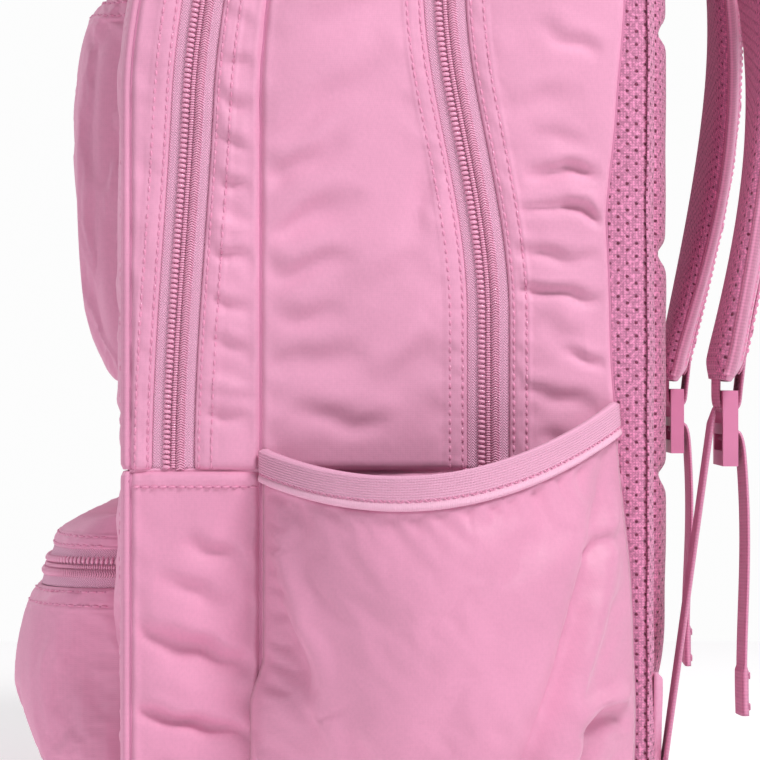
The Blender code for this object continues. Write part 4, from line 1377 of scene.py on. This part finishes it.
def build_strap(name, side):
    """A foam strap: cloth outside, mesh inside, bound edges, and a webbing down its middle."""
    body = "strap_root_" + name
    t = np.linspace(0, 1, 150)
    root = [(side * 0.0335, FACE_Y + 0.0020, 0.4015), (side * 0.0345, FACE_Y + 0.0045, 0.396)]
    root = np.array(root + [(side * 0.0352, FACE_Y + 0.0078, 0.3915)])
    path = resampled(np.concatenate([root, strap_line(side, t)]), 170)
    at_t = np.clip((STRAP_TOP_Z - path[:, 2]) / STRAP_DROP, 0, 1)
    thick = 0.0026 + 0.0074 * smooth((0.398 - path[:, 2]) / 0.02) * smooth((1.02 - at_t) / 0.05)
    width = strap_width(at_t)
    cloths = [SIDE_CLOTH, MESH_BAND]
    pad, outer, normals = strip("strap_pad_" + name, path, OUTWARD, width, thick, cloths, 5, 0.25)
    settle(pad, body, "air_mesh", "shoulder_strap_" + name)
    for edge, column in (("inner", 0), ("outer", -1)):
        line_at = outer[2:-1, column]
        bind = cord_mesh(f"strap_binding_{name}_{edge}", line_at, 0.0019, WEBBING)
        settle(bind, body, "webbing")
        near = outer[6:-4, 5 if column == 0 else -6]
        stitches(f"strap_stitches_{name}_{edge}", near, normals[6:-4], body, 3.0, "air_mesh")
    centre = outer[:, outer.shape[1] // 2]
    path = centre[4:-2] + normals[4:-2] * 0.0003
    band, top, normals = strip(
        "strap_webbing_" + name, path, OUTWARD, 0.024, 0.0012, [WEBBING], 14
    )
    settle(band, body, "webbing")
    for edge, column in (("a", 3), ("b", -4)):
        stitches(f"band_stitches_{name}_{edge}", top[3:-3, column], normals[3:-3], body, 2.6)
    for number, share in enumerate((0.06, 0.34, 0.56, 0.76, 0.95)):
        row = int(share * (len(path) - 1))
        bar_tack(f"strap_tack_{name}_{number}", top[row], normals[row], body)


def bar_tack(name, row, normal, body):
    """A short, dense zigzag across a webbing."""
    line_at = resampled(row[3:-3], 30)
    S = np.cross(normal, unit(line_at[-1] - line_at[0]))
    swing = np.where(np.arange(30) % 2 == 0, 0.9, -0.9) * MM
    path = line_at + S * swing[:, None] + normal * 0.25 * MM
    settle(cord_mesh(name, path, 0.00030, THREAD, 5), body, "webbing")


def build_lower_webbing(name, side):
    """Webbing from the base wing up through the ladder lock, whose end hangs loose."""
    low_end = np.array([side * 0.1325, BACK_Y + 0.0185, 0.034])
    high_end = np.array([side * 0.1020, BACK_Y + 0.0372, 0.1480])
    path = resampled([low_end, high_end], 40)
    title = "adjusting_webbing_" + name
    piece, _, _ = strip(title, path, OUTWARD, WEB_WIDTH, WEB_THICK, [WEBBING], 14)
    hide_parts("lower_webbing_" + name)
    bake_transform(piece)
    lo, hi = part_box("ladder_lock_" + name)
    x, y, top = (lo.x + hi.x) / 2, (lo.y + hi.y) / 2, hi.z
    loop = [(x, y - 0.0030, 0.174), (x, y - 0.0033, top - 0.001), (x, y - 0.0031, top - 0.0058)]
    loop += [(x, y, top - 0.0078), (x, y + 0.0036, top - 0.0058), (x, y + 0.0040, top - 0.001)]
    loop += [(x, y + 0.0052, 0.166), (x, y + 0.0058, 0.176)]
    loop = rounded_path(loop, 44, 3)
    out = upright(loop, (-1.0, 0, 0))
    piece, _, _ = strip("lock_loop_" + name, loop, out, 0.0235, 0.0012, [WEBBING], 14)
    settle(piece, "strap_" + name, "webbing")
    build_tail(name, side, Vector((x, y, top)))


def build_tail(name, side, lock):
    """The loose tail: over the middle bar, then down, with its end folded and sewn."""
    bar = (lock.x, lock.y - 0.0012, lock.z - 0.0165)
    start = [bar, (lock.x, lock.y + 0.0030, lock.z - 0.0125)]
    start += [(lock.x, lock.y + 0.0046, lock.z - 0.0165)]
    reach = np.linspace(0.012, 0.098, 24)
    x = lock.x + side * 0.05 * reach
    y = lock.y + 0.0043 + 0.02 * reach + 0.0012 * np.sin(reach / 0.02)
    rest = joined(x, y, lock.z - 0.010 - reach)
    path = rounded_path(np.concatenate([start, rest]), 70, 3)
    out = upright(path, (-1.0, 0, 0))
    thick = np.where(np.arange(70) > 58, 0.0026, WEB_THICK)
    piece, outer, normals = strip("loose_tail_" + name, path, out, WEB_WIDTH, thick, [WEBBING], 14)
    settle(piece, "lock_" + name, "webbing", "webbing_tail_" + name)
    for number, row in enumerate((60, 67)):
        bar_tack(f"tail_tack_{name}_{number}", outer[row], normals[row], "lock_" + name)


def build_handle():
    """Two layers of webbing, sewn along both edges, with tacked ends."""
    a = np.linspace(0, math.pi, 120)
    x = 0.058 * np.sign(np.cos(a)) * np.abs(np.cos(a)) ** 0.7
    z = TOP_Z + 0.0007 + 0.036 * np.sin(a) ** 0.8
    y = (low("grab_handle").y + high("grab_handle").y) / 2
    path = rounded_path(joined(x, y, z), 130, 4)
    out = upright(path, (0, 1.0, 0))
    if out[65, 2] < 0:
        out = -out
    piece, outer, normals = strip(
        "handle_webbing", path, out, WEB_WIDTH, 0.0036, [WEBBING], 12, 0.2
    )
    settle(piece, "handle", "webbing", "grab_handle")
    for edge, column in (("a", 4), ("b", -5)):
        stitches(f"handle_stitches_{edge}", outer[4:-4, column], normals[4:-4], "handle", 2.6)
    for number, row in enumerate((5, 124)):
        bar_tack(f"handle_tack_{number}", outer[row], normals[row], "handle")


PATCH_THICK, PATCH_ROW = 2.4, 3.2  # and the stitch row inside its edge, in millimetres


def patch(name, corners, node, puff):
    """A four-cornered, edge-stitched patch standing on the back; corners are (x, z)."""
    a = np.linspace(0, 1, 60)[:, None]
    b = np.linspace(0, 1, 60)[None, :]
    (x0, z0), (x1, z1), (x2, z2), (x3, z3) = corners
    x = (1 - a) * (1 - b) * x0 + a * (1 - b) * x1 + a * b * x2 + (1 - a) * b * x3
    z = (1 - a) * (1 - b) * z0 + a * (1 - b) * z1 + a * b * z2 + (1 - a) * b * z3
    wide = math.hypot(x1 - x0, z1 - z0) / MM
    tall = math.hypot(x3 - x0, z3 - z0) / MM
    near = np.minimum(np.minimum(a, 1 - a) * wide, np.minimum(b, 1 - b) * tall)
    relief = PATCH_THICK * (0.35 + 0.65 * smooth(near / 2.0)) + puff * smooth((near - 4) / 8)
    relief = relief - 0.45 * bell(near - PATCH_ROW, 0.6) + 0.15 * ripple(x / MM, z / MM, 18, 61)
    outer, inner = joined(x, FACE_Y + relief * MM, z), joined(x, FACE_Y - 0.0005, z)
    sewn(name, outer, inner, [SIDE_CLOTH], joined(x, z), "bag", "shell_fabric", node)
    ring = inset_ring(outer, near, PATCH_ROW)
    stitches(name + "_stitches", ring, (0.0, 1.0, 0.0), "bag", 2.5)


def inset_ring(outer, near, distance):
    """The closed line on a patch at a distance from its edge."""
    i = int(np.argmin(np.abs(near[:, near.shape[1] // 2][: near.shape[0] // 2] - distance)))
    j = int(np.argmin(np.abs(near[near.shape[0] // 2][: near.shape[1] // 2] - distance)))
    i, j = max(i, 1), max(j, 1)
    rows = [outer[i:-i, j], outer[-i - 1, j:-j], outer[i:-i, -j - 1][::-1], outer[i, j:-j][::-1]]
    return resampled(np.concatenate(rows), 400)


def build_carrying():
    for name, side in SIDES:
        build_strap(name, side)
        build_lower_webbing(name, side)
        corners = [(0.112, 0.016), (0.138, 0.028), (0.146, 0.066), (0.124, 0.058)]
        corners = [(side * x, z) for x, z in corners]
        patch("wing_" + name, corners, "strap_wing_" + name, 0.3)
        build_chest_strap(name, side)
    yoke = [(-0.078, 0.366), (0.078, 0.366), (0.066, 0.404), (-0.066, 0.404)]
    patch("yoke", yoke, "strap_yoke", 0.5)
    build_handle()


def build_chest_strap(name, side):
    lo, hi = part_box("sternum_webbing_" + name)
    y, z = (lo.y + hi.y) / 2, (lo.z + hi.z) / 2
    path = resampled([(lo.x, y, z), (hi.x, y, z)], 24)
    piece, outer, normals = strip(
        "chest_webbing_" + name, path, OUTWARD, hi.z - lo.z, hi.y - lo.y, [WEBBING], 14
    )
    settle(piece, "sternum_" + name, "webbing", "sternum_webbing_" + name)
    row = 20 if side > 0 else 3
    bar_tack("chest_tack_" + name, outer[row], normals[row], "sternum_" + name)


# ---- inside ----
def lined_panel(name, node, part, body):
    """The wall between the compartments, above or below the cross seam."""
    x, z, near = panel_grid(part, 0.0033)
    relief = 0.35 * ripple(x / MM, z / MM, 45, 71) * smooth(near / 15) * MM
    depth = SEAM_DEPTH - 0.0015
    outer = joined(x, y_at(depth + 0.003, z) - relief, z)
    inner = joined(x, y_at(depth, z) - relief, z)
    sewn(name, outer, inner, [LINING], joined(x, z), body, "lining", node)


def build_sleeve():
    """A padded sleeve for a laptop on the back wall, with a bound top edge."""
    lo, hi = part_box("laptop_sleeve")
    back, fore, half = hi.y, lo.y, hi.x
    corner = [(-half, back, 0), (-half, fore, 0), (half, fore, 0), (half, back, 0)]
    path = rounded_path(corner, 260, 10)
    out = upright(path, (0, 0, 1.0))
    level = lo.z + (hi.z - lo.z) * np.linspace(0, 1, 60)[None, :, None]
    s = np.linspace(-half, half, 260)[:, None] / MM
    swell = 0.5 * ripple(s, level[..., 0] / MM, 40, 81) - 0.25
    wall = path[:, None] * np.array([1, 1, 0]) + level * np.array([0, 0, 1])
    outer = wall + out[:, None] * (swell * MM)[..., None]
    outer[..., 1] = np.maximum(outer[..., 1], fore)
    inner = wall - out[:, None] * 0.0028
    uv = joined(s * MM, level[..., 0])
    home = ("bag", "lining", "laptop_sleeve")
    piece = sewn("padded_sleeve", outer, inner, [LINING], uv, *home)
    top = (outer[:, -1] + inner[:, -1]) / 2
    settle(cord_mesh("sleeve_binding", top, 0.0019, ELASTIC), "bag", "lining")


def build_organiser():
    """A flat inner pocket on the wall between the compartments, with an elastic hem."""
    lo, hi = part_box("organiser_pocket")
    wall = BACK_Y - SEAM_DEPTH - 0.0015 - GAP
    s = span(90)[:, None]
    z = np.linspace(lo.z, hi.z, 60)[None, :]
    depth = 0.002 + 0.011 * (1 - s**6) ** 0.5 * smooth((z - lo.z) / 0.02)
    depth = depth + 0.0006 * ripple(s * 95, z / MM, 30, 91) * (1 - s**4)
    y = np.minimum(wall - depth, wall - 0.0004)
    outer = joined(hi.x * s, y, z)
    inner = outer + np.array([0, 0.0012, 0])
    inner[..., 1] = np.minimum(inner[..., 1], wall)
    home = ("middle_leaf", "lining", "organiser_pocket")
    sewn("inner_organiser", outer, inner, [LINING], joined(s * 0.1, z), *home)
    hem = cord_mesh("organiser_hem", (outer[:, -1] + inner[:, -1]) / 2, 0.0011, ELASTIC)
    settle(hem, "middle_leaf", "lining")


def build_inside():
    lined_panel("dividing_wall", "divider", "upper", "middle_leaf")
    lined_panel("dividing_wall_low", "lower_divider", "lower", "bag")
    x, z, _ = panel_grid("whole", 0.0030)
    face = low("back_board").y - 0.0004
    outer = joined(x, face - 0.0001 * (1 + ripple(x / MM, z / MM, 40, 95)), z)
    inner = joined(x, face + 0.0002, z)
    sewn("back_lining", outer, inner, [LINING], joined(x, z), "bag", "lining")
    build_sleeve()
    build_organiser()


# ---- hardware: the CAD shapes, with softened edges ----
HARD = (("_slider", METAL), ("_pull", PLASTIC), ("ladder_lock", PLASTIC), ("buckle", PLASTIC))
HARD += (("sternum_clip", PLASTIC), ("back_board", BOARD))


def finish_hardware():
    for name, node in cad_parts.items():
        material = next((m for mark, m in HARD if mark in name), None)
        if material is None:
            continue
        if not node.material_slots:
            node.data.materials.append(material)
        for material_slot in node.material_slots:
            material_slot.material = material
        bevel = node.modifiers.new("softened", "BEVEL")
        bevel.width = 0.00035 if "_slider" in name or "_pull" in name else 0.0006
        bevel.segments = 3
        bevel.limit_method = "ANGLE"
        bevel.angle_limit = math.radians(25)
        bevel.use_clamp_overlap = True


build_gussets()
build_facings()
build_long_zips()
build_side_pockets()
build_front_panels()
build_front_pockets()
build_back()
build_carrying()
build_inside()
finish_hardware()


# ---- floor, light and camera ----
SKY, SKY_SHOWN = 0.38, 0.60  # the world's light, and what the camera sees on top of it


def build_stage():
    n = Nodes(new_material("floor", (0.93, 0.92, 0.93), 0.8))
    glow = n.tree.nodes["Principled BSDF"].inputs
    glow["Emission Color"].default_value = (1, 1, 1, 1)
    glow["Emission Strength"].default_value = 0.20
    uneven = n.bump(n.noise(n.coordinate("Object"), 3, 2), 0.02, 0.002)
    bpy.ops.mesh.primitive_plane_add(size=1.7, location=(0, 0, 0))
    floor = bpy.context.object
    floor.name = "floor"
    floor.data.materials.append(n.finish(None, None, uneven))
    world = bpy.data.worlds.new("studio")
    bpy.context.scene.world = world
    world.use_nodes = True
    background = world.node_tree.nodes["Background"]
    background.inputs["Color"].default_value = (1, 1, 1, 1)
    background.inputs["Strength"].default_value = SKY
    n = Nodes(world)
    shown = n.node("LightPath").outputs["Is Camera Ray"]
    n.put(background.inputs["Strength"], n.add(n.times(shown, SKY_SHOWN), SKY))
    for name, place, size, power in (
        ("key", (0.75, 0.50, 1.15), 0.4, 13),
        ("fill", (1.5, -1.2, 0.5), 1.2, 1.5),
        ("front", (-0.9, -1.6, 1.3), 0.9, 13),
        ("back", (-1.1, 1.3, 1.0), 1.0, 6),
    ):
        light = bpy.data.lights.new(name, "AREA")
        light.size = size
        light.energy = power
        lamp = linked(name, light)
        lamp.location = place
        aim = Vector((0, 0, 0.2)) - Vector(place)
        lamp.rotation_euler = aim.to_track_quat("-Z", "Y").to_euler()


def build_camera():
    """Level with the lower middle of the bag's right side, close and square to it."""
    camera = bpy.data.cameras.new("camera")
    camera.sensor_width = 36
    view_width, distance = 0.2436, 1.1
    camera.lens = camera.sensor_width * distance / view_width
    holder = linked("camera", camera)
    holder.location = (HALF_WIDTH + distance, BACK_Y - 0.0737, 0.160)
    holder.rotation_euler = (math.pi / 2, 0, math.pi / 2)
    bpy.context.scene.camera = holder
    bpy.context.scene.view_settings.view_transform = "Standard"


build_stage()
build_camera()
